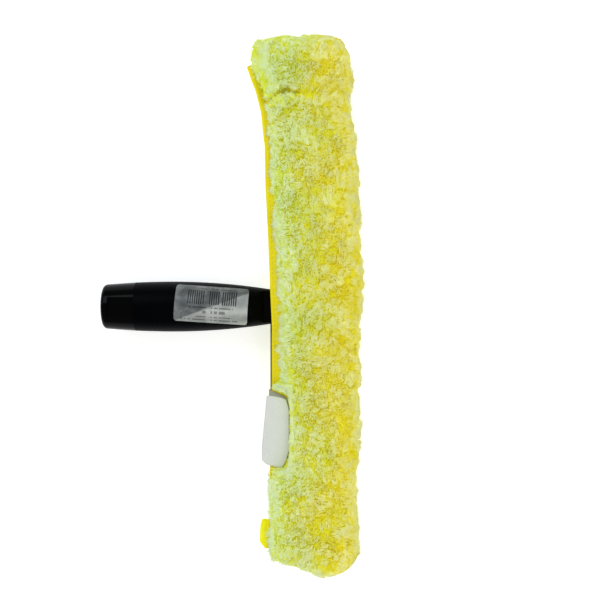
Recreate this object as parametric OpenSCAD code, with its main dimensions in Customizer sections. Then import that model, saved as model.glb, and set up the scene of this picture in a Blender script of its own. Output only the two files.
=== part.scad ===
// Window washer: a T-bar with a barrel handle, in a removable sleeve of pile cloth.
// It lies on its side on a surface at Z = 0. The crossbar runs along Y, the handle
// points to -X, and the origin is at the middle of the footprint.
// The sleeve is sewn shut at -Y and open at +Y. A slit along its back lets the
// handle's neck through, so the sleeve draws off the bar towards -Y.

/* [Crossbar] */
// Length of the crossbar without its caps
bar_length = 314; // [260:2:400]
// Depth of the crossbar from back to front
bar_depth = 36; // [32:0.5:44]
// Thickness of the crossbar
bar_thickness = 20; // [18:0.5:26]
// Wall of the crossbar
bar_wall = 2.4; // [1.6:0.1:3.6]
// Corner radius of the crossbar
bar_corner = 7; // [5:0.5:8.5]
// Diameter of a drain hole
drain_d = 9; // [4:0.5:12]
// Distance between drain holes
drain_pitch = 24; // [16:1:40]
// Distance from the handle's axis to the first drain hole
drain_start = 30; // [26:1:60]
// Thickness of the flange on an end cap
cap_flange = 3; // [2:0.5:6]
// Length of the spigot on an end cap
cap_spigot = 10; // [6:1:20]

/* [Handle] */
// Length from the handle's end to the back of the crossbar
handle_length = 127; // [118:1:150]
// Largest diameter of the barrel
barrel_d = 34.3; // [33:0.1:38]
// Diameter that the barrel's curve starts from at the handle's end
barrel_end_d = 30; // [29.5:0.1:32]
// Distance from the handle's end to the widest place
widest_at = 48; // [40:1:56]
// Height of the neck
neck_height = 23.8; // [20:0.2:26]
// Thickness of the neck between the edges of the slit
neck_thickness = 12; // [8:0.2:13]
// Length of the shoulder that narrows the barrel to the neck
shoulder_length = 9; // [7:0.5:11]
// Length of the neck behind the shoulder
neck_length = 17; // [16:0.5:24]
// How far the web at the foot of the neck spreads
web_spread = 10; // [4:0.5:12]
// Length of the web along the neck
web_length = 9; // [5:0.5:12]
// How far behind the shoulder the barrel's curve comes down to the height of the neck
curve_run = 4; // [0:0.5:8]
// Wall of the grip
grip_wall = 2.2; // [1.8:0.1:2.6]
// Length of the glossy end collar
collar_length = 22.2; // [18:0.2:30]
// Thickness of the collar's end wall
collar_end_wall = 2; // [1.5:0.1:3]
// Radius of the collar's outer corner
collar_corner = 3; // [1.5:0.1:3.2]
// Length of the flat panel on the collar
panel_length = 17.4; // [10:0.2:18]
// Width of the flat panel on the collar
panel_width = 13; // [8:0.5:15]
// Depth of the panel below its own rim
panel_depth = 0.4; // [0.2:0.1:0.6]

/* [Pole socket] */
// Bore of the pole socket
socket_d = 21; // [18:0.5:21]
// Depth of the pole socket
socket_depth = 50; // [36:1:60]
// Wall of the socket liner
liner_wall = 1; // [0.8:0.1:1.2]
// Wall of the core where the collar sits on it
spigot_wall = 1.3; // [1:0.1:1.5]
// Diameter of a socket pin
pin_d = 4; // [2.5:0.1:5]
// Distance from the handle's end to the socket pins
pin_at = 13; // [8:0.5:16]
// How deep the end of a pin lies below the collar
pin_recess = 0.4; // [0.2:0.1:1]
// How far a pin reaches into the liner's wall
pin_bite = 0.8; // [0.4:0.1:1]
// Bore of the core behind the socket
core_bore_d = 19; // [14:0.5:20]

/* [Screws] */
// Diameter of a neck screw
screw_d = 4; // [3:0.1:5]
// Length of a neck screw below its head
screw_length = 16; // [10:0.5:20]
// Diameter of the screw head
screw_head_d = 7.4; // [6:0.1:8]
// Height of the screw head
screw_head_h = 2.6; // [2:0.1:3.5]
// Play round a screw head for the driver
driver_play = 0.5; // [0.2:0.1:1]
// Distance of a screw from the handle's axis
screw_offset = 6.5; // [5:0.1:8]

/* [Sticker] */
// Length of the sticker along the handle
sticker_length = 49; // [30:1:52]
// Width of the sticker as seen from above
sticker_width = 24.5; // [14:0.5:26]
// Thickness of the sticker
sticker_thickness = 0.2; // [0.1:0.05:0.4]
// Corner radius of the sticker
sticker_corner = 2; // [1:0.5:5]
// Distance from the handle's end to the middle of the sticker
sticker_at = 74.8; // [65:0.2:76]
// Sideways place of the sticker
sticker_aside = 1.3; // [0:0.1:2]
// Turn of the sticker
sticker_turn = -4; // [-6:1:0]

/* [Sleeve] */
// Thickness of the backing cloth
cloth = 1; // [0.6:0.1:1.6]
// Play between the crossbar and the backing cloth
sleeve_play = 0.5; // [0.3:0.1:0.9]
// Depth of the pile that the washer lies on
pile_under = 11; // [8:0.5:14]
// Depth of the pile on the side away from the surface
pile_over = 12; // [8:0.5:16]
// Height of the pile over the front of the bar where it is deepest
pile_front = 14.5; // [12:0.5:18]
// Height of the pile over the back of the bar on a full stretch
pile_back = 14.2; // [12:0.5:18]
// Corner radius of the pile on the lower side
pile_round_low = 9; // [6:0.5:12]
// Corner radius of the pile on the upper side
pile_round_high = 17; // [12:0.5:19]
// How far the pile stands past the bar's cap at the sewn end
end_overhang = 26.5; // [20:0.5:34]
// How far the sewn end's own piece of pile laps the bar
end_lap = 2; // [1:0.5:6]
// How far the pile stands past the bar's cap at the mouth
mouth_overhang = 26.5; // [20:0.5:34]
// How far the backing cloth stands past the bar's cap at the mouth
mouth_margin = 5; // [3:0.5:10]
// Length of the turned-back stretch at the mouth
cuff_length = 43; // [36:1:50]
// Width of the hem tape at the mouth
hem_width = 8; // [5:0.5:12]
// Width of the seam allowance past the sewn end
end_seam_width = 6; // [4:0.5:10]
// Thickness of the hem tape
hem_thickness = 1; // [0.5:0.1:1.5]

/* [Slit] */
// Play on each side of the neck in the slit
slit_play = 1.2; // [0.8:0.1:2]
// Play between the flared edges of the slit and the barrel
flare_play = 1; // [0.6:0.1:2]
// How far the flared edges of the slit reach over the barrel
flare_reach = 6; // [4:0.5:10]
// Length of the closed back below the slit, to the end of the bar
slit_below = 44; // [35:1:100]
// Thickness of a bound edge: cloth and tape
binding_thickness = 2.4; // [1.2:0.1:3]
// Length along the slit of the bar tack
tack_length = 3; // [2:0.5:6]
// How deep the bar tack lies below the pile
tack_depth = 1; // [0.5:0.5:3]

/* [Label and tab] */
// Length of the care label
label_length = 46; // [30:1:60]
// Width of the care label from its seam to its free edge
label_width = 17.6; // [12:0.2:20]
// Thickness of the care label
label_thickness = 0.5; // [0.3:0.1:0.8]
// Distance from the end of the bar to the middle of the label
label_at = 77.5; // [76:0.5:85]
// Size of the label's cut corners
label_corner = 2; // [1:0.5:3]
// How far the label's lower edge slants
label_slant = 4; // [0:0.5:5]
// How far the grey leaf stands out from under the label
underlay_step = 4.5; // [2:0.5:6]
// Parting of the pile beyond each end of the label
label_room = 2; // [1:0.5:4]
// Parting of the pile beyond the label's seam
label_parting = 1.2; // [1:0.1:3]
// Width of the pull tab along the sleeve
tab_width = 20; // [12:0.5:26]
// Length of the pull tab from its seam
tab_length = 5.8; // [5:0.1:9]
// Thickness of the pull tab at its fold
tab_fold = 4; // [3:0.1:5]
// Diameter of the eye in the pull tab
tab_eye = 1.8; // [1:0.1:2.4]
// Distance from the end of the bar to the middle of the pull tab
tab_at = 4.5; // [4:0.5:14]
// Thickness of the tape stack that carries the pull tab through the pile
tab_patch_thickness = 4.8; // [3.2:0.1:6]

/* [Fits] */
// Gap between pieces that are pressed or moulded together
seat = 0.05; // [0.02:0.01:0.1]
// Radial clearance of a screw or pin in its hole
hole_play = 0.05; // [0.02:0.01:0.1]
// Gap kept between soft pieces on different bodies
soft_gap = 0.3; // [0.3:0.1:0.6]

/* [Hidden] */
$fn = 64;

// The overall places, from the handle's end at -X to the front of the pile at +X
reach = handle_length + bar_depth + pile_front;
end_x = -reach / 2;
bar_back = end_x + handle_length;
bar_front = bar_back + bar_depth;
bar_mid = (bar_back + bar_front) / 2;
// Half the bar with its cap, and the two ends of the sleeve
bar_half = bar_length / 2 + cap_flange;
mouth_y = bar_half + mouth_margin;
pile_top_y = bar_half + mouth_overhang;
pile_bottom_y = -bar_half - end_overhang;
crease_y = pile_top_y - cuff_length;
// The height of the handle's axis and of the upper side of the pile
axis_z = bar_thickness / 2 + sleeve_play + cloth + pile_under;
pile_top = axis_z + bar_thickness / 2 + sleeve_play + cloth + pile_over;
// The backing cloth's outside, and the end of its closed side
cloth_out = sleeve_play + cloth;
cloth_back = bar_back - cloth_out;
sewn_y = -bar_half - sleeve_play;
// The lower end of the slit, the middles of the label and the tab, and the pile end's seam
slit_end_y = -bar_half + slit_below;
label_y = -bar_half + label_at;
tab_y = -bar_half + tab_at;
end_start_y = -bar_half + end_lap;
// Where the barrel ends, where its shoulder has narrowed to the neck
neck_at = handle_length - neck_length;
shoulder_at = neck_at - shoulder_length;
neck_r = neck_height / 2;
curve_end_at = neck_at + curve_run;
// Half the slit beside the neck, and outside it where it flares round the barrel
slit_half = neck_thickness / 2 + slit_play;
flare_half = barrel_r(shoulder_at - flare_reach) + flare_play;
// The socket's liner, and the core's front stretch that the collar sits on
liner_r = socket_d / 2 + liner_wall;
spigot_r = liner_r + seat + spigot_wall;
label_z = axis_z + slit_half + binding_thickness + soft_gap;
tab_seam_x = bar_back - pile_back - soft_gap;
// Small margins that only make a cut pass its surface
past = 1;
far_past = 60;

// Radius of the barrel at a distance from the handle's end
function barrel_r(at) = at < widest_at
    ? barrel_d / 2 - (barrel_d - barrel_end_d) / 2 * pow((widest_at - at) / widest_at, 2)
    : barrel_d / 2 - (barrel_d / 2 - neck_r) * pow((at - widest_at) / (curve_end_at - widest_at), 2);

// Points of the barrel's curve from one distance to another, set in by a wall
function barrel_line(from, to, inset = 0, steps = 16) =
    [for (i = [0 : steps]) let (at = from + (to - from) * i / steps) [barrel_r(at) - inset, at]];

// An arc in a list of points
function arc(cx, cy, r, from, to, steps = 6) =
    [for (i = [0 : steps]) let (a = from + (to - from) * i / steps) [cx + r * cos(a), cy + r * sin(a)]];

// Draws along Y: the flat shape's first axis is X and its second is Z
module along_y(from, to) {
    translate([0, to, 0]) rotate([90, 0, 0]) linear_extrude(to - from) children();
}

// Turns a profile of radius and distance round the handle's axis
module turned() {
    translate([end_x, 0, axis_z]) rotate([0, 90, 0]) rotate_extrude($fn = 96) children();
}

// A rod along the handle's axis direction at a sideways place
module rod_x(from, length, d, aside = 0) {
    translate([end_x + from, aside, axis_z]) rotate([0, 90, 0]) cylinder(d = d, h = length);
}

module round_rect(w, h, r) {
    square([w - 2 * r, h], center = true);
    square([w, h - 2 * r], center = true);
    for (sx = [-1, 1], sy = [-1, 1])
        translate([sx * (w / 2 - r), sy * (h / 2 - r)]) circle(r);
}

// The crossbar's outline, grown outwards or set in
module bar_outline(grow = 0) {
    translate([bar_mid, axis_z])
        round_rect(bar_depth + 2 * grow, bar_thickness + 2 * grow, bar_corner + grow);
}

module crossbar() {
    drains = floor((bar_length / 2 - cap_spigot - drain_d - drain_start) / drain_pitch);
    color([0.05, 0.05, 0.055])
    difference() {
        along_y(-bar_length / 2, bar_length / 2) bar_outline();
        along_y(-bar_length / 2 - past, bar_length / 2 + past) bar_outline(-bar_wall);
        for (side = [-1, 1], i = [0 : drains])
            translate([bar_mid, side * (drain_start + i * drain_pitch), 0])
                cylinder(d = drain_d, h = pile_top);
        for (side = [-1, 1]) {
            rod_x(handle_length - past, bar_wall + 2 * past, screw_d + 2 * hole_play,
                side * screw_offset);
            rod_x(handle_length + bar_depth - bar_wall - past, bar_wall + 2 * past,
                screw_head_d + 2 * driver_play, side * screw_offset);
        }
    }
}

module end_cap() {
    rim = 1;
    color([0.06, 0.06, 0.065]) {
        along_y(bar_length / 2, bar_length / 2 + cap_flange - rim) bar_outline();
        along_y(bar_length / 2 + cap_flange - rim, bar_half) bar_outline(-rim);
        along_y(bar_length / 2 - cap_spigot, bar_length / 2) bar_outline(-bar_wall - seat);
    }
}

module end_cap_mouth() {
    end_cap();
}

module end_cap_sewn() {
    mirror([0, 1, 0]) end_cap();
}

module neck_screws() {
    color([0.7, 0.7, 0.72])
    for (side = [-1, 1]) {
        rod_x(handle_length + bar_wall - screw_length, screw_length, screw_d, side * screw_offset);
        rod_x(handle_length + bar_wall, screw_head_h, screw_head_d, side * screw_offset);
    }
}

// The side view that turns the round shoulder into the flat neck
module neck_side() {
    tall = barrel_d;
    points = [[0, tall], [shoulder_at, tall], [shoulder_at, barrel_r(shoulder_at)],
        [neck_at, neck_thickness / 2], [handle_length, neck_thickness / 2]];
    both = concat(points, [for (i = [len(points) - 1 : -1 : 0]) [points[i][0], -points[i][1]]]);
    translate([0, neck_height + web_spread, 0]) rotate([90, 0, 0])
        linear_extrude(2 * (neck_height + web_spread))
            translate([end_x, axis_z]) polygon(both);
}

module handle_core() {
    under = barrel_line(collar_length + seat, shoulder_at, grip_wall + seat);
    open = barrel_line(shoulder_at, curve_end_at, 0, 6);
    profile = concat(
        [[0, collar_end_wall + seat], [spigot_r, collar_end_wall + seat],
            [spigot_r, collar_length + seat]],
        under, open, [[neck_r, handle_length], [0, handle_length]]);
    web = [[handle_length - web_length, neck_r - past], [handle_length, neck_r + web_spread],
        [handle_length, -neck_r - web_spread], [handle_length - web_length, -neck_r + past]];
    color([0.05, 0.05, 0.055])
    difference() {
        intersection() {
            union() {
                turned() polygon(profile);
                translate([end_x, 0, axis_z - neck_thickness / 2])
                    linear_extrude(neck_thickness) polygon(web);
            }
            neck_side();
        }
        rod_x(0, socket_depth + collar_end_wall, 2 * (liner_r + seat));
        rod_x(0, shoulder_at - grip_wall, core_bore_d);
        socket_pin_holes();
        for (side = [-1, 1])
            rod_x(handle_length + bar_wall - screw_length - past, screw_length + past,
                screw_d + 2 * hole_play, side * screw_offset);
    }
}

module grip() {
    outer = barrel_line(collar_length + seat, shoulder_at);
    inner = barrel_line(collar_length + seat, shoulder_at, grip_wall);
    color([0.045, 0.045, 0.05])
        turned() polygon(concat(outer, [for (i = [len(inner) - 1 : -1 : 0]) inner[i]]));
}

module end_collar() {
    corner_r = barrel_r(collar_corner) - collar_corner;
    profile = concat(
        [[liner_r + seat, 0]],
        arc(corner_r, collar_corner, collar_corner, -90, 0),
        barrel_line(2 * collar_corner, collar_length, 0, 8),
        [[spigot_r + seat, collar_length], [spigot_r + seat, collar_end_wall],
            [liner_r + seat, collar_end_wall]]);
    panel_from = collar_length - panel_length;
    rim_z = sqrt(pow(barrel_r(panel_from), 2) - pow(panel_width / 2, 2));
    color([0.035, 0.035, 0.04])
    difference() {
        turned() polygon(profile);
        translate([end_x + panel_from, -panel_width / 2, axis_z + rim_z - panel_depth])
            cube([panel_length + past, panel_width, barrel_d]);
        socket_pin_holes();
    }
}

module socket_liner() {
    color([0.16, 0.16, 0.17])
    difference() {
        rod_x(0, socket_depth + collar_end_wall, 2 * liner_r);
        rod_x(-past, socket_depth + past, socket_d);
        socket_pin_holes();
    }
}

// One pin lies along Y on each side of the socket
module pin_pair(d, inner, outer) {
    for (side = [-1, 1])
        translate([end_x + pin_at, side * inner, axis_z]) rotate([-side * 90, 0, 0])
            cylinder(d = d, h = outer - inner);
}

module socket_pin_holes() {
    pin_pair(pin_d + 2 * hole_play, liner_r - pin_bite, barrel_d);
}

module socket_pins() {
    color([0.62, 0.62, 0.64]) pin_pair(pin_d, liner_r - pin_bite + seat, barrel_r(pin_at) - pin_recess);
}

module handle_sticker() {
    from = sticker_at - sticker_length / 2 - 2 * past;
    to = sticker_at + sticker_length / 2 + 2 * past;
    color([0.78, 0.79, 0.8])
    intersection() {
        turned() polygon(concat(
            barrel_line(from, to, -seat - sticker_thickness),
            [for (i = [16 : -1 : 0]) barrel_line(from, to, -seat)[i]]));
        translate([end_x + sticker_at, sticker_aside, axis_z]) rotate([0, 0, sticker_turn])
            linear_extrude(barrel_d) round_rect(sticker_length, sticker_width, sticker_corner);
    }
}

// The slit's upper edge as seen along the sleeve, from the backing cloth outwards
function slit_edge(grow = 0) = [
    [bar_back + bar_depth / 4, slit_half + grow], [end_x + neck_at + slit_play, slit_half + grow],
    [end_x + shoulder_at + slit_play, flare_half + grow], [end_x, flare_half + grow]];

// A flat shape of X and Z between one line of points and another that is listed backwards
module band(line, other) {
    translate([0, axis_z])
        polygon(concat(line, [for (i = [len(other) - 1 : -1 : 0]) other[i]]));
}

// The slit as a cut, with room on each side for what binds its edges
module slit_cut(grow = 0) {
    edge = slit_edge(grow);
    along_y(slit_end_y, pile_top_y + past) band(edge, [for (p = edge) [p[0], -p[1]]]);
}

module backing_cloth() {
    color([0.9, 0.85, 0.1])
    difference() {
        along_y(sewn_y - cloth, mouth_y) bar_outline(cloth_out);
        along_y(sewn_y, mouth_y + past) bar_outline(sleeve_play);
        slit_cut();
    }
}

// A bound edge of the slit: a strip along it, cut by its free edge as seen from above.
// A point of the free edge is a share of the way from the slit's end to the mouth, and a
// share of the pile's height that the edge stands behind the bar.
module binding(side, free_edge) {
    inner = [for (p = slit_edge()) [p[0], side * p[1]]];
    outer = [for (p = slit_edge(binding_thickness)) [p[0], side * p[1]]];
    outline = [for (p = free_edge)
        [bar_back - pile_back * p[1], slit_end_y + (mouth_y - slit_end_y) * p[0]]];
    difference() {
        intersection() {
            along_y(slit_end_y, mouth_y) band(inner, outer);
            linear_extrude(pile_top)
                polygon(concat([[bar_mid, mouth_y], [bar_mid, slit_end_y]], outline));
        }
        cloth_room(slit_end_y - past, mouth_y + past);
    }
}

module binding_near() {
    color([0.93, 0.88, 0.02]) binding(1, [
        [0, 0.94], [0.2, 0.83], [0.36, 0.83], [0.46, 0.92], [0.57, 1.01], [0.7, 1.14],
        [0.8, 1.16], [0.88, 1.31], [0.93, 1.57], [0.988, 2.06], [0.995, 1.8]]);
}

module binding_far() {
    color([0.75, 0.7, 0.05]) binding(-1, [
        [0, 0.94], [0.36, 0.94], [0.57, 0.99], [0.7, 1.08], [0.8, 1.1], [0.88, 1.25],
        [0.93, 1.52], [0.995, 1.72]]);
}

module slit_bartack() {
    color([0.85, 0.75, 0.05])
    translate([bar_back - pile_back + tack_depth, slit_end_y - tack_length, axis_z - slit_half])
        cube([pile_back - cloth_out - tack_depth, tack_length, 2 * slit_half]);
}

module mouth_hem() {
    color([0.9, 0.85, 0.1])
    difference() {
        along_y(mouth_y - hem_width, mouth_y) bar_outline(cloth_out + hem_thickness);
        along_y(mouth_y - hem_width - past, mouth_y + past) bar_outline(cloth_out);
        slit_cut(binding_thickness);
    }
}

module end_seam() {
    color([0.9, 0.85, 0.1])
    along_y(sewn_y - cloth - end_seam_width, sewn_y - cloth) translate([bar_mid, axis_z])
        square([bar_depth - 2 * bar_corner, 2 * cloth], center = true);
}

module tab_patch() {
    color([0.9, 0.82, 0.02])
    translate([tab_seam_x + soft_gap, tab_y - tab_width / 2, axis_z - tab_patch_thickness / 2])
        cube([cloth_back - tab_seam_x - soft_gap, tab_width, tab_patch_thickness]);
}

// One ring of the pile. A row holds the ring's share of the way along its piece, its reach
// behind and before the bar as shares of the pile's heights there, how far it rises below
// and falls above as shares of the upper pile, and how far it slants for each unit of X.
function pile_ring(row, from, to) =
    let (
        left = bar_back - pile_back * row[1], right = bar_front + pile_front * row[2],
        low = pile_over * row[3], high = pile_top - pile_over * row[4],
        least_flat = 0.5,
        half = min(right - left, high - low) / 2 - least_flat,
        rl = min(pile_round_low, half), rh = min(pile_round_high, half),
        flat = concat(
            arc(right - rl, low + rl, rl, -90, 0), arc(right - rh, high - rh, rh, 0, 90),
            arc(left + rh, high - rh, rh, 90, 180), arc(left + rl, low + rl, rl, 180, 270))
    )
    [for (p = flat) [p[0], from + (to - from) * row[0] - row[5] * (p[0] - left), p[1]]];

// A closed soft form through rings that run along Y from one place to another
module pile_form(from, to, rows) {
    rings = [for (row = rows) pile_ring(row, from, to)];
    n = len(rings[0]);
    m = len(rings);
    points = [for (ring = rings) each ring];
    sides = [for (i = [0 : m - 2], j = [0 : n - 1]) let (k = (j + 1) % n)
        each [[i * n + j, i * n + k, (i + 1) * n + k], [i * n + j, (i + 1) * n + k, (i + 1) * n + j]]];
    first = [for (j = [1 : n - 2]) [0, j + 1, j]];
    last = [for (j = [1 : n - 2]) [(m - 1) * n, (m - 1) * n + j, (m - 1) * n + j + 1]];
    polyhedron(points, concat(first, sides, last), convexity = 6);
}

// The room in the pile for the backing cloth
module cloth_room(from, to) {
    along_y(from, to) bar_outline(cloth_out);
}

// The place in the pile that the label lies in and is lifted from
module label_place() {
    from = label_y - label_length / 2 - label_slant - label_room;
    to = label_y + label_length / 2 + underlay_step + label_room;
    translate([bar_back - far_past, from, label_z - soft_gap])
        cube([far_past + label_parting, to - from, pile_top]);
}

module pile_main() {
    color([0.8, 0.88, 0.45])
    difference() {
        pile_form(end_start_y, crease_y, [
            [0, 1, 0.77, 0, 0.08, 0],
            [0.07, 1, 0.7, 0, 0.04, 0],
            [0.14, 1, 0.72, 0, 0, 0],
            [0.23, 0.72, 0.77, 0, 0.04, 0],
            [0.33, 0.58, 0.75, 0, 0, 0],
            [0.44, 0.51, 0.91, 0, 0.04, 0],
            [0.54, 0.58, 0.91, 0, 0, 0],
            [0.63, 0.68, 1, 0, 0, 0],
            [0.72, 0.86, 0.81, 0, 0.04, 0],
            [0.82, 0.93, 0.75, 0, 0, 0],
            [0.9, 1.07, 0.58, 0, 0.04, 0],
            [0.95, 1.17, 0.43, 0, 0.08, 0],
            [0.985, 1.22, 0.41, 0, 0.16, 0],
            [1, 1.15, 0.32, 0, 0.42, 0]]);
        cloth_room(sewn_y - cloth, mouth_y);
        slit_cut(binding_thickness);
        label_place();
        tack_place();
        tab_patch();
    }
}

// The pile leaves the bar tack free
module tack_place() {
    translate([bar_back - far_past, slit_end_y - tack_length, axis_z - slit_half])
        cube([far_past - cloth_out, tack_length, 2 * slit_half]);
}

module pile_cuff() {
    color([0.84, 0.9, 0.55])
    difference() {
        pile_form(crease_y, pile_top_y, [
            [0, 1.15, 0.32, 0, 0.42, 0],
            [0.12, 1.31, 0.44, 0, 0.08, 0],
            [0.33, 1.68, 0.46, 0, -0.08, 0],
            [0.51, 1.79, 0.43, 0, -0.08, 0],
            [0.7, 1.84, 0.36, 0, 0, 0],
            [0.86, 1.76, 0.07, 0.25, 0.33, 0],
            [0.96, 1.48, -0.2, 0.75, 0.75, 0],
            [1, 0.78, -0.9, 1.25, 1.25, 0]]);
        cloth_room(crease_y - past, pile_top_y + past);
        slit_cut(binding_thickness);
        along_y(mouth_y - hem_width, mouth_y) bar_outline(cloth_out + hem_thickness);
    }
}

module pile_end() {
    color([0.82, 0.9, 0.5])
    difference() {
        pile_form(pile_bottom_y, end_start_y, [
            [0.46, 0.78, -0.34, 0.67, 0.75, 0.3],
            [0.6, 0.92, 0.61, 0.25, 0.33, 0.22],
            [0.79, 0.96, 0.77, 0, 0.12, 0.1],
            [1, 1, 0.77, 0, 0.08, 0]]);
        cloth_room(sewn_y - cloth, mouth_y);
        end_seam();
        tab_patch();
    }
}

// The label is drawn flat, with its seam along Y; the free edge points to -X
module label_leaf(z, outline) {
    translate([bar_back, label_y, z]) linear_extrude(label_thickness) polygon(outline);
}

module care_label() {
    c = label_corner;
    half = label_length / 2;
    seam = 0.6 * half;
    color([0.86, 0.87, 0.86])
    label_leaf(label_z + label_thickness, [
        [0, seam], [-c, half - c], [-label_width + c, half], [-label_width - c / 2, c - half],
        [-label_width + c / 2, -half], [-2.5 * c, -half - label_slant], [-c, c - half], [0, -seam]]);
}

module label_underlay() {
    c = label_corner;
    half = label_length / 2;
    seam = 0.6 * half;
    color([0.55, 0.56, 0.5])
    label_leaf(label_z, [
        [0, seam], [-c, half - c / 2], [-label_width + 2 * c, half + underlay_step],
        [-label_width + 2 * c, 2 * c - half], [-c, 3 * c - half], [0, -seam]]);
}

module pull_tab() {
    fold_r = tab_fold / 2;
    reach_x = tab_length - fold_r;
    tilt = asin(fold_r / reach_x);
    root = 0.2;
    color([0.95, 0.9, 0.02])
    translate([tab_seam_x, 0, axis_z])
    difference() {
        along_y(tab_y - tab_width / 2, tab_y + tab_width / 2) {
            translate([-reach_x, 0]) circle(fold_r);
            polygon([[0, root], [-reach_x + fold_r * sin(tilt), fold_r * cos(tilt)],
                [-reach_x + fold_r * sin(tilt), -fold_r * cos(tilt)], [0, -root]]);
        }
        along_y(tab_y - tab_width, tab_y + tab_width) translate([-reach_x, 0]) circle(d = tab_eye);
    }
}

crossbar();
end_cap_mouth();
end_cap_sewn();
neck_screws();
handle_core();
grip();
end_collar();
socket_liner();
socket_pins();
handle_sticker();
backing_cloth();
pile_main();
pile_cuff();
pile_end();
binding_near();
binding_far();
slit_bartack();
mouth_hem();
end_seam();
tab_patch();
care_label();
label_underlay();
pull_tab();
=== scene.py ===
# %% [markdown]
# # A window washer in its pile sleeve
# The real object is a black plastic T-bar with a barrel handle, and over its crossbar a
# removable sleeve of yellow microfibre pile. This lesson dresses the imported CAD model: the
# T-bar keeps its exact shape and gets moulded finishes, and the soft sleeve is modelled
# again as fleece, strands, tape, thread and woven labels. The frame holds every part where
# the CAD put it, so all the pieces below are made in metres in that same frame.

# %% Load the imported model
import math

import bmesh
import bpy
import numpy as np
from mathutils import Matrix, Vector, noise
from mathutils.bvhtree import BVHTree
from mathutils.kdtree import KDTree


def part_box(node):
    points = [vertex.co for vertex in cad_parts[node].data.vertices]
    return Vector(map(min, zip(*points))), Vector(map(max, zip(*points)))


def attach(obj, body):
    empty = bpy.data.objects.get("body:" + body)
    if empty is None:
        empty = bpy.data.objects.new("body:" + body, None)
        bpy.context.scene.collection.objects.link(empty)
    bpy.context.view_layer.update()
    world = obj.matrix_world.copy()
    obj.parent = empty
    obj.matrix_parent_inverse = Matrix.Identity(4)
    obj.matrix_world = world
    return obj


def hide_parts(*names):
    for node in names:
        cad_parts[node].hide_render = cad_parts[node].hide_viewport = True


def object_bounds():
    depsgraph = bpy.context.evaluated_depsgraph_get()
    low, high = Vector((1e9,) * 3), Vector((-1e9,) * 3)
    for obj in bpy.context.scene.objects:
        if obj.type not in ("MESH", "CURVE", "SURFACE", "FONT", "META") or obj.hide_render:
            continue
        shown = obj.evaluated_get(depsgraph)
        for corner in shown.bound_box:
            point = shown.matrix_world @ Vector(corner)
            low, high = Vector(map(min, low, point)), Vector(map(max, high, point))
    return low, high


MM = 0.001
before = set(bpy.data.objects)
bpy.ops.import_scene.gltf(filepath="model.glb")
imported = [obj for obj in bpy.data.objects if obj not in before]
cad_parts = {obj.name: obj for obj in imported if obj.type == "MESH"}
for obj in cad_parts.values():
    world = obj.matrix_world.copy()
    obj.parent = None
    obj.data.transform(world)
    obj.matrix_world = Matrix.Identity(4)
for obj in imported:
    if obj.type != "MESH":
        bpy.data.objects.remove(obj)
cad_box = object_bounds()

# %% [markdown]
# ## Camera, floor and light
# The photograph was taken from straight above on a white ground, about 700 mm away, so the
# camera looks down and its picture's upward side is +Y. A large plain floor and a pale world
# give the even, nearly shadowless light of a product picture; one cool lamp at the upper
# left puts the bluish sheen on the handle, and a warmer one lights the right side.

# %% Place the camera
PHOTO_DISTANCE = 700 * MM
AXIS_HEIGHT = 22.5 * MM
PHOTO_WIDTH = 411 * MM
PHOTO_CENTRE = (45.6 * MM, 4.5 * MM)
SENSOR = 36

camera = bpy.data.objects.new("camera", bpy.data.cameras.new("camera"))
camera.data.sensor_width = SENSOR
camera.data.lens = SENSOR * PHOTO_DISTANCE / PHOTO_WIDTH
camera.location = (*PHOTO_CENTRE, AXIS_HEIGHT + PHOTO_DISTANCE)
bpy.context.scene.collection.objects.link(camera)
bpy.context.scene.camera = camera
bpy.context.scene.view_settings.view_transform = "Standard"
print("lens", round(camera.data.lens, 1), "mm")


# %% Hang the lamps and set the world
def lamp(name, place, aim, size, watts, tint):
    """A square soft lamp that the camera doesn't see."""
    light = bpy.data.lights.new(name, "AREA")
    light.size = size
    light.energy = watts
    light.color = tint
    hung = bpy.data.objects.new(name, light)
    hung.location = place
    hung.rotation_euler = (Vector(aim) - Vector(place)).to_track_quat("-Z", "Y").to_euler()
    hung.visible_camera = False
    bpy.context.scene.collection.objects.link(hung)
    return hung


lamp("cool_key", (-0.5, 0.75, 0.95), (0, 0, 0.02), 0.7, 5.5, (0.86, 0.95, 1.0))
lamp("warm_fill", (0.4, -0.55, 1.1), (0.05, -0.05, 0.02), 0.8, 4.4, (1.0, 0.96, 0.9))

world = bpy.data.worlds.new("studio")
world.use_nodes = True
sky = world.node_tree.nodes["Background"].inputs
sky["Color"].default_value = (0.97, 0.985, 1.0, 1)
sky["Strength"].default_value = 0.47
bpy.context.scene.world = world
print("two lamps and a pale world")

# %% [markdown]
# ## Writing finishes as Python
# A finish is a Principled shader with a pattern behind a few of its sockets. Long node trees
# are hard to read, so a socket is wrapped in a small class that knows arithmetic: an
# expression such as `1 - mask * 0.3` adds its own Math nodes. Every other node comes from one
# method that takes the node's type, its settings, and the values or links of its sockets.


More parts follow.
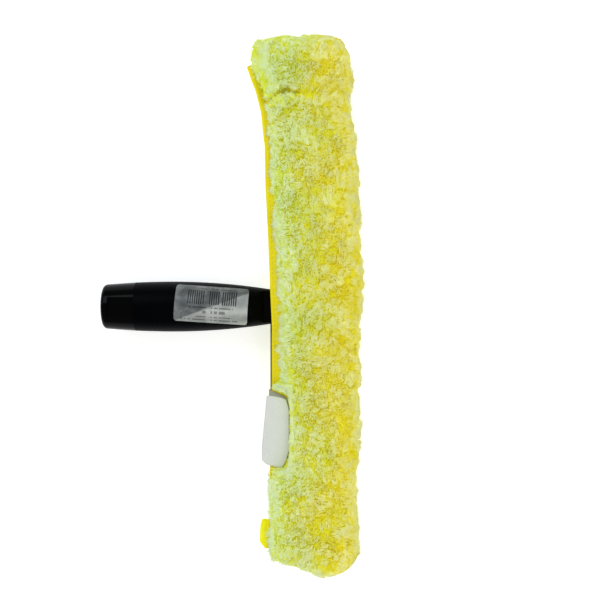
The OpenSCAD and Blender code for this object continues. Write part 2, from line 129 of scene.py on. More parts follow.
# %% The socket class and the finish class
class Signal:
    """An output of a node in a finish; arithmetic on it adds Math nodes."""

    def __init__(self, finish, socket):
        self.finish, self.socket = finish, socket

    def math(self, operation, *values):
        return self.finish.add("Math", {"operation": operation}, dict(enumerate(values)))

    def __add__(self, other):
        return self.math("ADD", self, other)

    def __mul__(self, other):
        return self.math("MULTIPLY", self, other)

    def __sub__(self, other):
        return self.math("SUBTRACT", self, other)

    def __rsub__(self, other):
        return self.math("SUBTRACT", other, self)

    def __truediv__(self, other):
        return self.math("DIVIDE", self, other)

    __radd__, __rmul__ = __add__, __mul__

    def only(self, operation):
        """Math on this signal alone, such as ABSOLUTE or FLOOR."""
        return self.math(operation, self)

    def wave(self, length):
        """A wave from 0 to 1 that repeats over a length in metres."""
        return self.math("SINE", self * (2 * math.pi / length)) * 0.5 + 0.5

    def over(self, limit, soft):
        """0 below a limit and 1 above it, over a soft edge."""
        return self.finish.add("MapRange", {"interpolation_type": "SMOOTHSTEP"},
            {"Value": self, "From Min": limit - soft, "From Max": limit + soft})


class Finish:
    """A material whose Principled shader is fed by signals."""

    def __init__(self, name, **fixed):
        self.material = bpy.data.materials.new(name)
        self.material.use_nodes = True
        self.tree = self.material.node_tree
        self.shader = self.tree.nodes["Principled BSDF"]
        for socket, value in fixed.items():
            self.feed(socket.replace("_", " ").title().replace("Ior", "IOR"), value)

    def feed(self, socket, value):
        """Puts a value or a signal on a socket of the shader."""
        self.put(self.shader.inputs[socket], value)

    def put(self, socket, value):
        """Links a signal to a socket, or sets the socket's own value."""
        if isinstance(value, Signal):
            self.tree.links.new(value.socket, socket)
        else:
            socket.default_value = value

    def add(self, kind, settings=None, sockets=None, output=0):
        """Adds a node: its type, then its settings, then its sockets."""
        node = self.tree.nodes.new("ShaderNode" + kind)
        for name, value in (settings or {}).items():
            setattr(node, name, value)
        for name, value in (sockets or {}).items():
            self.put(node.inputs[name], value)
        return Signal(self, node.outputs[output])

    def mix(self, share, first, second):
        """Mixes two colours."""
        return self.add("Mix", {"data_type": "RGBA"}, {0: share, 6: first, 7: second}, 2)

    def place(self):
        """The place in the object's own metres."""
        return self.add("TexCoord", output="Object")

    def split(self, vector):
        """The three parts of a vector as signals."""
        parts = self.tree.nodes.new("ShaderNodeSeparateXYZ")
        self.put(parts.inputs[0], vector)
        return [Signal(self, parts.outputs[k]) for k in range(3)]

    def speckle(self, vector, size, detail=3, rough=0.5):
        """Soft noise whose features are about a size in metres across."""
        return self.add("TexNoise", {}, {"Vector": vector, "Scale": 1 / size,
            "Detail": detail, "Roughness": rough}, "Fac")

    def bump(self, height, depth, strength=1.0):
        """Feeds the Normal with a bump of a depth in metres."""
        self.feed("Normal", self.add("Bump", {}, {"Height": height, "Distance": depth,
            "Strength": strength}))


def paint(red, green, blue):
    """A colour as a screen shows it, from 0 to 255, in Blender's linear light."""
    linear = [c / 255 / 12.92 if c <= 10 else ((c / 255 + 0.055) / 1.055) ** 2.4
        for c in (red, green, blue)]
    return (*linear, 1.0)


print("a mid yellow is", [round(c, 3) for c in paint(215, 205, 20)])

# %% The floor
floor_finish = Finish("floor_paper", base_color=paint(248, 249, 250), roughness=0.9,
    emission_color=(1, 1, 1, 1), emission_strength=0.52)
floor_grain = floor_finish.speckle(floor_finish.place(), 3 * MM)
floor_finish.feed("Roughness", floor_grain * 0.1 + 0.85)
floor_mesh = bpy.data.meshes.new("floor")
floor_shape = bmesh.new()
bmesh.ops.create_grid(floor_shape, x_segments=2, y_segments=2, size=3)
floor_shape.to_mesh(floor_mesh)
floor_shape.free()
floor = bpy.data.objects.new("floor", floor_mesh)
floor_mesh.materials.append(floor_finish.material)
bpy.context.scene.collection.objects.link(floor)
print("floor of", [round(d, 2) for d in floor.dimensions[:2]], "m")

# %% [markdown]
# ## Moulded plastics
# The T-bar is injection moulded in black: a satin crossbar, a handle whose grip has a fine
# matt spark texture, and a highly polished collar at the open end. Their shapes are the CAD
# nodes, so only the finishes are made here. Fine noise in the bump gives the moulded grain,
# and noise in the roughness gives the smudges and rubbed places of a part that was handled.


# %% Plastic finishes
def plastic(name, tint, rough, grain, depth, smudge=0.1, **fixed):
    """Moulded plastic: a grain in its bump and smudges in its roughness."""
    made = Finish(name, base_color=tint, **fixed)
    place = made.place()
    wear = made.speckle(place, 14 * MM, 5, 0.65)
    made.feed("Roughness", wear * smudge + (rough - smudge / 2))
    made.bump(made.speckle(place, grain, 2), depth)
    return made


BAR = plastic("bar_plastic", paint(2, 2, 1), 0.42, 0.6 * MM, 0.03 * MM,
    specular_ior_level=0.03)
# The grip's near-black is tinted slightly blue: a painted reflection of the cool lamp
GRIP = plastic("grip_rubber", paint(0, 1, 3), 0.4, 0.45 * MM, 0.06 * MM,
    specular_ior_level=0.022)
GLOSS = plastic("collar_gloss", paint(1, 1, 2), 0.12, 6 * MM, 0.02 * MM, 0.1,
    specular_ior_level=0.05)
LINER = plastic("liner_plastic", paint(52, 53, 56), 0.5, 0.8 * MM, 0.03 * MM)
STEEL = plastic("screw_steel", paint(170, 171, 175), 0.3, 0.5 * MM, 0.015 * MM, 0.2,
    metallic=1.0)


def refinish(finish, *names):
    """Gives CAD nodes a better material; their shapes stay."""
    for name in names:
        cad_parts[name].material_slots[0].material = finish.material
    print(finish.material.name, "on", ", ".join(names))


refinish(BAR, "crossbar", "end_cap_mouth", "end_cap_sewn", "handle_core")
refinish(GRIP, "grip")
refinish(GLOSS, "end_collar")
refinish(LINER, "socket_liner")
refinish(STEEL, "neck_screws", "socket_pins")

# %% [markdown]
# ## The sticker
# The sticker on the handle is silvery paper that has been rubbed, with a lighter diagonal
# zone painted on it for the light on a lifted corner, a block of plain stripes and a few rows
# of dashes. The stripes and dashes could be modelled as thin plates, but ink has no height,
# so they are a pattern in the finish. It is worked out on the sticker's own length and width,
# by turning the object's place back by the sticker's turn.

# %% Sticker finish
STICKER_TURN = math.radians(-4)
sticker_low, sticker_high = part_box("handle_sticker")
sticker_mid = (sticker_low + sticker_high) / 2
STICKER = Finish("sticker_paper", metallic=0.35)
turned = STICKER.add("Mapping", {"vector_type": "TEXTURE"}, {"Vector": STICKER.place(),
    "Location": (sticker_mid.x, sticker_mid.y, 0), "Rotation": (0, 0, STICKER_TURN)})
along, across, _ = STICKER.split(turned)
cloud = STICKER.speckle(STICKER.place(), 9 * MM, 5, 0.6)
# A lighter diagonal zone toward one corner: painted light, as a lamp would catch a lifted fold of
# the paper
fold = (along * 0.45 - across).over(1.5 * MM, 0.8 * MM) * 0.75
paper = STICKER.mix(cloud.over(0.52, 0.12) * 0.25 + fold * 0.75, paint(84, 88, 89),
    paint(194, 198, 194))
print("sticker", [round(d * 1000, 1) for d in (sticker_high - sticker_low)], "mm")


# %% Stripes and dashes on the sticker
def near(signal, place, half, soft=0.15 * MM):
    """1 within half a width of a place on the sticker's length or width."""
    off = signal - place
    return 1 - off.only("ABSOLUTE").over(half, soft)


def chance(signal, step):
    """A random number from 0 to 1 that stays the same over each step in metres."""
    return STICKER.add("TexWhiteNoise", {"noise_dimensions": "1D"},
        {"W": (signal / step).only("FLOOR")})


STRIPE = 1.45 * MM
DASH = 1.1 * MM
ROWS = (  # middle across, half width, middle along and half length, in millimetres
    (-2.2, 0.5, 0, 15), (10.3, 0.35, 3, 11), (-5.2, 1.0, 2, 7.5), (-8.4, 0.35, 2, 12),
    (-10.4, 0.4, -1, 19))
stripe = chance(along, STRIPE).over(0.12, 0.02) * along.wave(STRIPE).over(0.42, 0.1)
stripes = stripe * near(along, 0.5 * MM, 16.5 * MM) * near(across, 4.6 * MM, 4.6 * MM)
rows = 0
for middle, half, start, reach in ROWS:
    rows = rows + near(across, middle * MM, half * MM) * near(along, start * MM, reach * MM)
ink = stripes * 0.95 + rows * chance(along, DASH).over(0.2, 0.02) * 0.6
STICKER.feed("Base Color", STICKER.mix(ink, paper, paint(22, 22, 24)))
STICKER.feed("Roughness", cloud * 0.3 + 0.22)
STICKER.bump(STICKER.speckle(STICKER.place(), 5 * MM, 4), 0.12 * MM)
refinish(STICKER, "handle_sticker")
print("stripes", STRIPE, "m apart and", len(ROWS), "rows of dashes")

# %% [markdown]
# ## Measuring the pile's outer skin
# The sleeve's shape is already in the CAD model: a plump tube of pile that closes round one
# end and puffs out at the mouth. The fleece and its strands have to follow exactly that
# skin. It could be drawn again from numbers, but it is safer to measure it: rays go from
# far outside towards the bar's axis, in rings along the tube and in a fan over each end,
# and the place each ray hits is a point of the skin. Where a ray passes through the slit
# and hits nothing, the point is bridged from its neighbours, and in the mouth it is put
# level with the cuff's end.

# %% The places that the sleeve is built around
bar_low, bar_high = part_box("crossbar")
cloth_low, cloth_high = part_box("backing_cloth")
tack_low, tack_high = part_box("slit_bartack")
label_low, label_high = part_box("care_label")
bar_mid = (bar_low.x + bar_high.x) / 2
axis_z = (bar_low.z + bar_high.z) / 2
mouth_y = cloth_high.y
slit_end_y = tack_high.y
slit_half = tack_high.z - axis_z
binding = 2.4 * MM  # the bound edges' thickness
pile_low, pile_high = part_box("pile_main")
mouth_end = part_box("pile_cuff")[1].y
MOUTH_ROOM = (cloth_high - cloth_low) / 2
print("bar axis", round(bar_mid * 1000, 2), round(axis_z * 1000, 2), "mouth", round(mouth_y, 4))

# %% Rays towards the axis
PILE = ["pile_main", "pile_cuff", "pile_end"]
AROUND = 96  # rays in each ring
FAN = 16  # tilted rings over each end
FAR = 0.2  # metres from the axis to where a ray starts


def solid_tree(names):
    """A search tree over the meshes of some CAD nodes."""
    joined = bmesh.new()
    for name in names:
        joined.from_mesh(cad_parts[name].data)
    tree = BVHTree.FromBMesh(joined)
    joined.free()
    return tree


def stations(first, last, step):
    """Ray rings: each has its place on the axis and its tilt towards the ends."""
    count = round((last - first) / step)
    fan = [math.pi / 2 * k / FAN for k in range(1, FAN + 1)]
    return ([(first, -tilt) for tilt in reversed(fan)]
        + [(first + (last - first) * k / count, 0) for k in range(count + 1)]
        + [(last, tilt) for tilt in fan])


def ray(angle, tilt):
    """A direction out from the axis; angle 0 is the front at +X."""
    flat = math.cos(tilt)
    return Vector((flat * math.cos(angle), math.sin(tilt), flat * math.sin(angle)))


pile_tree = solid_tree(PILE)
rings = stations(first=-156 * MM, last=150 * MM, step=2.5 * MM)
skin = np.full((len(rings), AROUND, 3), np.nan)
for r, (y, tilt) in enumerate(rings):
    heart = Vector((bar_mid, y, axis_z))
    for a in range(AROUND):
        out = ray(2 * math.pi * a / AROUND, tilt)
        hit = pile_tree.ray_cast(heart + out * FAR, -out, FAR)[0]
        if hit is not None:
            skin[r, a] = hit
        elif tilt > 0.3:
            over = heart + out * ((mouth_end - y) / out.y)
            if abs(over.x - bar_mid) < MOUTH_ROOM.x and abs(over.z - axis_z) < MOUTH_ROOM.z:
                skin[r, a] = over
print("rays", skin.shape[:2], "missed", int(np.isnan(skin[..., 0]).sum()))


# %% Bridge the slit and find the outward directions
def bridged(row):
    """Fills the places where rays passed through the slit, from both sides of it."""
    known = ~np.isnan(row[:, 0])
    if known.all():
        return row
    at = np.arange(AROUND)
    wide = np.concatenate([at[known] - AROUND, at[known], at[known] + AROUND])
    return np.stack([np.interp(at, wide, np.tile(row[known, k], 3)) for k in range(3)], axis=1)


def smoothed(field, times):
    """Averages a ring-by-ring field with its neighbours."""
    for _ in range(times):
        field = 0.5 * field + 0.25 * (np.roll(field, 1, 1) + np.roll(field, -1, 1))
        field[1:-1] = 0.5 * field[1:-1] + 0.25 * (field[:-2] + field[2:])
    return field


skin = np.stack([bridged(row) for row in skin])
lengthwise = np.gradient(skin, axis=0)
crosswise = np.roll(skin, -1, 1) - np.roll(skin, 1, 1)
outward = np.cross(crosswise, lengthwise)
hearts = np.array([[bar_mid, y, axis_z] for y, _ in rings])[:, None]
outward *= np.sign((outward * (skin - hearts)).sum(2, keepdims=True) + 1e-12)
outward[0] = (0, -1e-6, 0)
outward[-1] = (0, 1e-6, 0)
outward /= np.linalg.norm(outward, axis=2, keepdims=True) + 1e-12
outward = smoothed(outward, 3)
outward /= np.linalg.norm(outward, axis=2, keepdims=True) + 1e-12
print("skin spans", skin.min((0, 1)).round(4), skin.max((0, 1)).round(4))

# %% [markdown]
# ## The fleece under the strands
# Microfibre pile is looped and cut yarn on a knitted ground. Seen from outside the ground
# shows only deep between the tufts, as a saturated yellow. It is modelled as a closed soft
# body a few millimetres inside the skin: a grid bent round the measured rings, its doubles
# merged so that the seam and the two poles close. The room for the backing cloth, the slit
# and the sewn tapes is then cut out with booleans, as a tailor would leave it free.

# %% A grid bent into place
def bent_grid(across, along, place, weave=None):
    """A mesh grid whose points are put in place by a function of two shares from 0 to 1."""
    shape = bmesh.new()
    bmesh.ops.create_grid(shape, x_segments=across, y_segments=along, size=0.5)
    if weave:
        layer = shape.loops.layers.uv.new("weave")
        for face in shape.faces:
            for corner in face.loops:
                flat = corner.vert.co
                corner[layer].uv = ((flat.x + 0.5) * weave[0], (flat.y + 0.5) * weave[1])
    for point in shape.verts:
        point.co = place(point.co.x + 0.5, point.co.y + 0.5)
    return shape


def finished(name, shape, finish, body, smooth=True, merge=1e-6):
    """Turns a bmesh into a piece that rides on a body."""
    bmesh.ops.remove_doubles(shape, verts=shape.verts, dist=merge)
    mesh = bpy.data.meshes.new(name)
    shape.to_mesh(mesh)
    shape.free()
    mesh.materials.append(finish.material)
    mesh.polygons.foreach_set("use_smooth", [smooth] * len(mesh.polygons))
    piece = bpy.data.objects.new(name, mesh)
    bpy.context.scene.collection.objects.link(piece)
    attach(piece, body)
    return piece


print("helpers for pieces ready")

# %% The fleece's ground and its two ends
DEPTH = 3.6 * MM  # how far the ground lies under the skin
END_GAP = 1.5 * MM
# The photographed outline of the top and of the sewn end, in millimetres
TOP_X = [12.7, 21.6, 26.4, 35.3, 42.9, 45.6, 47.7, 55.9, 62.7, 69.6, 73.7, 76.4, 79.9]
TOP_Y = [181.9, 182.6, 184.3, 185.6, 184.6, 183.6, 186.3, 186.7, 186, 184.6, 182.6, 178.4, 171.6]
END_X = [24, 27, 35, 43.6, 51.8, 64.8, 69.6, 75.1, 79.9, 82.6, 86]
END_Y = [-175.5, -177.5, -179.5, -182, -184, -186, -184, -181, -177, -173, -167]


def ends_at(x, z):
    """Where the sleeve's two ends lie along Y; higher places stop a little sooner."""
    nearer = 1 - np.clip(z - axis_z, 0, 1) / PHOTO_DISTANCE
    return (np.interp(x / MM, END_X, END_Y) * MM * nearer,
        np.interp(x / MM, TOP_X, TOP_Y) * MM * nearer)


def fleece_point(u, v):
    """A point of the fleece's ground under the skin: u goes round and v along."""
    a = round(u * AROUND) % AROUND
    r = round(v * (len(rings) - 1))
    under = Vector(skin[r, a]) - Vector(outward[r, a]) * DEPTH
    tuft = noise.noise(under * 210) * 0.7 * MM
    under += Vector(outward[r, a]) * tuft
    end, top = ends_at(under.x, under.z)
    under.y = min(max(under.y, end + END_GAP), top - END_GAP)
    return under


print("ground", DEPTH, "m under the skin, ends", [round(float(y), 4) for y in ends_at(0.05, 0.02)])

# %% The ground's finish
FLEECE = Finish("pile_fabric_ground", roughness=0.85)
tangle = FLEECE.speckle(FLEECE.place(), 1.6 * MM, 4, 0.6)
FLEECE.feed("Base Color", FLEECE.mix(tangle.over(0.5, 0.2), paint(236, 222, 10),
    paint(244, 236, 60)))
FLEECE.bump(tangle, 0.8 * MM)
print(FLEECE.material.name, "ready")


# %% Cutters for the cloth, the slit and the sewn tapes
BAR_CORNER = 7 * MM
OPEN_END = 0.25  # metres along Y, well past the mouth
WELL_BEHIND = -90 * MM
FLARE_FROM, FLARE_TO = 22.45 * MM, 13.45 * MM  # where the slit's edges turn outwards, along X


def outline_loop(grow, count=96):
    """Points of the crossbar's outline grown outwards, round the middle of the bar."""
    half_x = (bar_high.x - bar_low.x) / 2 + grow
    half_z = (bar_high.z - bar_low.z) / 2 + grow
    corner = BAR_CORNER + grow
    points = []
    for k in range(count):
        angle = 2 * math.pi * (k + 0.5) / count
        c, s = math.cos(angle), math.sin(angle)
        points.append(((half_x - corner) * (1 if c > 0 else -1) + corner * c,
            (half_z - corner) * (1 if s > 0 else -1) + corner * s))
    return points


def prism(points, first, last):
    """A closed solid from X and Z points, drawn along Y."""
    shape = bmesh.new()
    ring = [shape.verts.new((x, first, z)) for x, z in points]
    face = shape.faces.new(ring)
    pulled = bmesh.ops.extrude_face_region(shape, geom=[face])["geom"]
    bmesh.ops.translate(shape, vec=(0, last - first, 0),
        verts=[g for g in pulled if isinstance(g, bmesh.types.BMVert)])
    bmesh.ops.recalc_face_normals(shape, faces=shape.faces)
    return shape


def slit_edge(side, grow):
    """The slit's edge as seen along the sleeve, from the cloth outwards, as X and Z."""
    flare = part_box("binding_near")[1].z - axis_z - binding
    return [(bar_mid - 9 * MM, axis_z + side * (slit_half + grow)),
        (FLARE_FROM, axis_z + side * (slit_half + grow)),
        (FLARE_TO, axis_z + side * (flare + grow)),
        (WELL_BEHIND, axis_z + side * (flare + grow))]


def as_cutter(shape):
    """An object for a boolean; it is removed again after the cut."""
    mesh = bpy.data.meshes.new("cutter")
    shape.to_mesh(mesh)
    shape.free()
    made = bpy.data.objects.new("cutter", mesh)
    bpy.context.scene.collection.objects.link(made)
    return made


def carved(piece, cutters):
    """Takes the cutters out of a piece and applies the result."""
    for cutter in cutters:
        cut = piece.modifiers.new("cut", "BOOLEAN")
        cut.operation = "DIFFERENCE"
        cut.solver = "EXACT"
        cut.object = cutter
    applied = bpy.data.meshes.new_from_object(
        piece.evaluated_get(bpy.context.evaluated_depsgraph_get()))
    piece.modifiers.clear()
    piece.data = applied
    return piece


cloth_room = [(bar_mid + x, axis_z + z) for x, z in outline_loop(1.5 * MM)]
slit_room = slit_edge(1, binding) + slit_edge(-1, binding)[::-1]
cutters = [
    as_cutter(prism(cloth_room, cloth_low.y, OPEN_END)),
    as_cutter(prism(slit_room, slit_end_y - 3 * MM, OPEN_END)),
]
for name in ("tab_patch", "end_seam"):
    a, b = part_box(name)
    corners = [(a.x, a.z), (b.x, a.z), (b.x, b.z), (a.x, b.z)]
    cutters.append(as_cutter(prism(corners, a.y, b.y)))
print(len(cutters), "cutters")

# %% Make the three pieces
crease_y = pile_high.y
lap_y = pile_low.y
whole = bent_grid(AROUND, len(rings) - 1, fleece_point)
bmesh.ops.remove_doubles(whole, verts=whole.verts, dist=1e-6)
bmesh.ops.recalc_face_normals(whole, faces=whole.faces)


def stretch(source, first, last):
    """The part of a closed body between two places along Y, closed again."""
    part = source.copy()
    for y, way in ((first, -1), (last, 1)):
        if y is None:
            continue
        bmesh.ops.bisect_plane(part, geom=[*part.verts, *part.edges, *part.faces],
            plane_co=(0, y, 0), plane_no=(0, way, 0), clear_outer=True)
        rim = [e for e in part.edges if e.is_boundary]
        bmesh.ops.contextual_create(part, geom=rim)
    bmesh.ops.recalc_face_normals(part, faces=part.faces)
    return part


for name, first, last in (("fleece_main", lap_y, crease_y), ("fleece_cuff", crease_y, None),
        ("fleece_end", None, lap_y)):
    ground = finished(name, stretch(whole, first, last), FLEECE, "sleeve")
    carved(ground, cutters)
    print(name, len(ground.data.polygons), "faces")
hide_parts("pile_main")
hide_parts("pile_cuff")
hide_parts("pile_end")
for cutter in cutters:
    bpy.data.objects.remove(cutter)
whole.free()

# %% [markdown]
# ## Tufts
# The strands of this pile gather in soft tufts, three to five millimetres across, finer on
# the side next to the slit. Their middles are scattered over the skin with a least distance
# between them, and each tuft gets its own height and lean, so that the surface looks
# combed by use and not planted in rows. The lean is three calls of plain noise, because
# the module's vector noise gives other numbers in each run.

# %% Scatter points over the skin
SEED = 7
TUFT_TRIES = 26000
random_pile = np.random.default_rng(SEED)


def scattered(count):
    """Random points on the skin: their places, outward directions, and the skin's whole area."""
    corner = skin[:-1]
    side_a = np.roll(skin, -1, 1)[:-1] - corner
    side_b = skin[1:] - corner
    area = np.linalg.norm(np.cross(side_a, side_b), axis=2).ravel()
    cell = random_pile.choice(len(area), count, p=area / area.sum())
    r, a = np.divmod(cell, AROUND)
    s, t = random_pile.random((2, count, 1))
    b = (a + 1) % AROUND

    def between(field):
        this_ring = field[r, a] * (1 - s) + field[r, b] * s
        next_ring = field[r + 1, a] * (1 - s) + field[r + 1, b] * s
        return this_ring * (1 - t) + next_ring * t

    out = between(outward)
    return between(skin), out / np.linalg.norm(out, axis=1, keepdims=True), float(area.sum())


tuft_at, tuft_out, skin_area = scattered(TUFT_TRIES)
print("skin of", round(skin_area * 1e4), "square centimetres")


# %% Keep tufts a least distance apart
def spaced(points, gap):
    """The numbers of the points that keep a gap from those chosen before them."""
    cell = float(gap.max())
    taken, kept = {}, []
    for n, point in enumerate(points):
        home = tuple(int(c // cell) for c in point)
        groups = (taken.get((home[0] + i, home[1] + j, home[2] + k), ())
            for i in (-1, 0, 1) for j in (-1, 0, 1) for k in (-1, 0, 1))
        if all(np.dot(point - other, point - other) > gap[n] ** 2
                for group in groups for other in group):
            taken.setdefault(home, []).append(point)
            kept.append(n)
    return np.array(kept)


def rightness(points):
    """0 at the slit side of the sleeve and 1 at the side away from the handle."""
    return np.clip((points[:, 0] - 30 * MM) / (46 * MM), 0, 1)


tuft_gap = (2.6 + 1.3 * rightness(tuft_at)) * MM
chosen = spaced(tuft_at, tuft_gap)
tuft_at, tuft_out = tuft_at[chosen], tuft_out[chosen]
tuft_tree = KDTree(len(tuft_at))
for n, point in enumerate(tuft_at):
    tuft_tree.insert(point, n)
tuft_tree.balance()
patch = np.array([noise.noise(Vector(p) * 150) + 0.5 * noise.noise(Vector(p) * 330)
    for p in tuft_at])
tuft_rise = np.clip(0.62 + 0.75 * patch + random_pile.normal(0, 0.22, len(tuft_at)), 0, 1)
LEAN_FROM = [Vector((9.3, -1.5, -8)), Vector((0, 0, 0)), Vector((6.3, 0.2, -2.7))]
tuft_lean = np.array([[noise.noise(Vector(p) * 60 + start) for start in LEAN_FROM]
    for p in tuft_at]) * 3.4 * MM
tuft_lean += random_pile.normal(0, 0.8, tuft_lean.shape) * MM
print(len(tuft_at), "tufts")

# %% [markdown]
# ## Strands
# Each strand is a thin tapered rod with three sides. One is modelled with bmesh and then
# repeated some hundred and sixty thousand times by array arithmetic, because an object or
# a bmesh call for each strand would take minutes. A strand grows from the fleece, bends
# towards the middle of its tuft and ends in a soft curl. Its colour runs from a deep yellow
# root to a pale tip, so every point carries two numbers: how pale it is, and how warm. They
# also carry painted light: paler and cooler on the left and warmer on the right, for the two
# lamps, and a darker olive in the crease, for its shade.

# %% One strand
blade = bmesh.new()
bmesh.ops.create_cone(blade, cap_ends=True, segments=3, radius1=1, radius2=0, depth=1)
bmesh.ops.translate(blade, verts=blade.verts, vec=(0, 0, 0.5))
bmesh.ops.bisect_plane(blade, geom=[*blade.verts, *blade.edges, *blade.faces],
    plane_co=(0, 0, 0.62), plane_no=(0, 0, 1))
blade.verts.index_update()
blade_height = np.array([v.co.z for v in blade.verts])
blade_angle = np.array([math.atan2(v.co.y, v.co.x) for v in blade.verts])
blade_faces = [[v.index for v in f.verts] for f in blade.faces]
blade_girth = np.interp(blade_height, [0, 0.62, 0.999, 1], [1.0, 1.05, 0.5, 0])
blade.free()
print("a strand has", sum(len(f) - 2 for f in blade_faces), "triangles")

# %% Grow the strands
STRANDS = 165000
root_at, root_out, _ = scattered(STRANDS)
x, y, z = root_at.T
from_axis = np.abs(z - axis_z)
leaf_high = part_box("label_underlay")[1]
tab_low, tab_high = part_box("tab_patch")
bare = {
    "slit": (from_axis < slit_half + binding) & (x < bar_low.x + 5 * MM)
        & (y > slit_end_y - 3 * MM),
    "mouth": (y > mouth_y + 12 * MM) & (np.abs(x - bar_mid) < 18.5 * MM)
        & (from_axis < 11 * MM),
    "label": (x < bar_low.x + 1.6 * MM) & (z > axis_z) & (y > label_low.y - 2 * MM)
        & (y < leaf_high.y + 2 * MM),
    "tab": (x < bar_low.x) & (y > tab_low.y) & (y < tab_high.y) & (from_axis < 2.6 * MM),
}
free = ~np.any(list(bare.values()), axis=0)
print({name: int(place.sum()) for name, place in bare.items()}, "strands left out")
root_at, root_out = root_at[free], root_out[free]
own = np.array([tuft_tree.find(p)[1] for p in root_at])
print(len(root_at), "strands in", len(set(own.tolist())), "tufts")

# %% [markdown]
# ## The parting round the label and the crease below the cuff
# The label lies in a parting, whose steep walls the rays hardly touch, so the strands on
# its three walls and in the corners that the label leaves free are planted by a table. The
# cuff meets the main pile in a crease, where the strands are pressed down and show their
# yellow roots, and where their colour is turned to a darker olive as painted shade; the main
# pile stands up over it like a fringe.

# %% Plant the parting's walls
part_y = (label_low.y - 2 * MM, leaf_high.y + 2 * MM)
part_x = bar_low.x + 1.2 * MM
part_z = (label_high.z + 1.4 * MM, 45.4 * MM)
WALLS = (  # how many, spans along X, Y and Z, the way they face, and how far they reach out
    (2000, (part_x, part_x), part_y, (part_z[0], 38 * MM), (-1, 0, 0.35), 0.9),
    (3600, (part_x, part_x), part_y, (37 * MM, part_z[1]), (-0.75, 0, 0.7), 2.0),
    (900, (31 * MM, part_x), (part_y[1], part_y[1]), (part_z[0], 37 * MM), (-0.2, -1, 0.5), 2.4),
    (900, (31 * MM, part_x), (part_y[0], part_y[0]), (part_z[0], 37 * MM), (-0.2, 1, 0.5), 2.4),
    (1100, (31 * MM, part_x), (part_y[1], part_y[1]), (36 * MM, part_z[1]), (-0.4, -0.6, 0.8), 1.8),
    (1100, (31 * MM, part_x), (part_y[0], part_y[0]), (36 * MM, part_z[1]), (-0.4, 0.6, 0.8), 1.8),
)
wall_reach = []


def planted_in(spans, amount):
    """Random points in a box, given as its spans along X, Y and Z."""
    return np.stack([random_pile.uniform(*span, amount) for span in spans], axis=1)


def unit(rows):
    """Rows of vectors, each made one long."""
    return rows / np.linalg.norm(rows, axis=1, keepdims=True)


def under_skin(points, out, deep):
    """Lowers planted points so that their roots stay under the pile's top."""
    for point in points:
        root = point - np.array(out) * DEPTH
        top = pile_tree.ray_cast(Vector((root[0], root[1], 0.1)), Vector((0, 0, -1)))[0]
        if top is not None and point[2] > top.z - deep:
            point[2] = part_z[0] + max(top.z - deep - part_z[0], 0) * random_pile.random()
    return points


for amount, x_span, y_span, z_span, out, reach in WALLS:
    planted = under_skin(planted_in((x_span, y_span, z_span), amount), out, 1.3 * MM)
    top = np.clip((planted[:, 2:] - 40 * MM) / (6 * MM), 0, 1)
    facing = np.array([out]) * (1 - 0.6 * top) + np.array([[0, 0, 0.8]]) * top
    facing = facing + random_pile.normal(0, 0.34, facing.shape)
    root_at = np.concatenate([root_at, planted])
    root_out = np.concatenate([root_out, unit(facing)])
    ends = np.abs(planted[:, 1] - sum(part_y) / 2) / (part_y[1] - part_y[0]) * 2
    wall_reach.append(reach + 4.2 * np.clip(ends, 0, 1) ** 6 * (x_span[0] == x_span[1]))
print(sum(map(len, wall_reach)), "strands on the parting's walls")

# %% Fill the parting's corners
CORNER_TRIES = 11000
corner = planted_in(((28 * MM, part_x), part_y, (34.2 * MM, 38 * MM)), CORNER_TRIES)
label_top = np.interp(corner[:, 0] / MM, [24.7, 36.2, 38.2], [-54.6, -60, -68]) * MM
label_foot = np.interp(corner[:, 0] / MM, [21.6, 33.3, 36.2, 38.2], [-106, -110, -104, -97]) * MM
corner = corner[(corner[:, 1] > label_top) | (corner[:, 1] < label_foot)]
corner_out = np.stack([np.full(len(corner), -0.1),
    -0.15 * np.sign(corner[:, 1] - label_low.y - 25 * MM), np.full(len(corner), 1.0)], axis=1)
corner_out += random_pile.normal(0, 0.3, corner_out.shape)
root_at = np.concatenate([root_at, corner])
root_out = np.concatenate([root_out, unit(corner_out)])
wall_reach.append(np.full(len(corner), 1.6))
print(len(corner), "strands in its corners")

# %% [markdown]
# ## The cuff's lip
# Beside the flared edge the turned-back pile hangs over its own seam as a soft lip. The
# measured skin has hardly a point there, so its strands too are planted by a table: along
# the lip's line as the photograph shows it from above, thinning out inwards.

# %% Plant the cuff's lip
LIP = 5000
# The lip's line as photographed, in millimetres
LIP_Y = [134, 138, 145, 153, 159, 165, 172, 176, 179]
LIP_X = [22.8, 22, 19.8, 16, 13.4, 12.4, 12.2, 13.4, 17]
lip_y = random_pile.uniform(LIP_Y[0] * MM, LIP_Y[-1] * MM, LIP)
inward = random_pile.random(LIP) ** 1.1
lip_x = np.interp(lip_y / MM, LIP_Y, LIP_X) * MM + 12 * MM * inward
lip_x += np.array([noise.noise(Vector((y * 160, 5, 0))) for y in lip_y]) * 1.8 * MM
lip_at = np.stack([lip_x, lip_y, axis_z + 18.2 * MM + 5.2 * MM * np.sqrt(inward)], axis=1)
lip_out = np.stack([inward - 0.9, 0.2 * (lip_y > 172 * MM), 0.4 + inward], axis=1)
lip_out += random_pile.normal(0, 0.32, lip_out.shape)
root_at = np.concatenate([root_at, lip_at])
root_out = np.concatenate([root_out, unit(lip_out)])
wall_reach.append(np.full(LIP, 0.4))
print(LIP, "strands on the lip")

# %% Give the planted strands their tufts
wall_own = np.array([tuft_tree.find(p)[1] for p in root_at[len(own):]])
reach_out = np.concatenate([np.zeros(len(own)), *wall_reach]) * MM
own = np.concatenate([own, wall_own])
print(len(wall_own), "strands on the parting's walls and the cuff's lip")

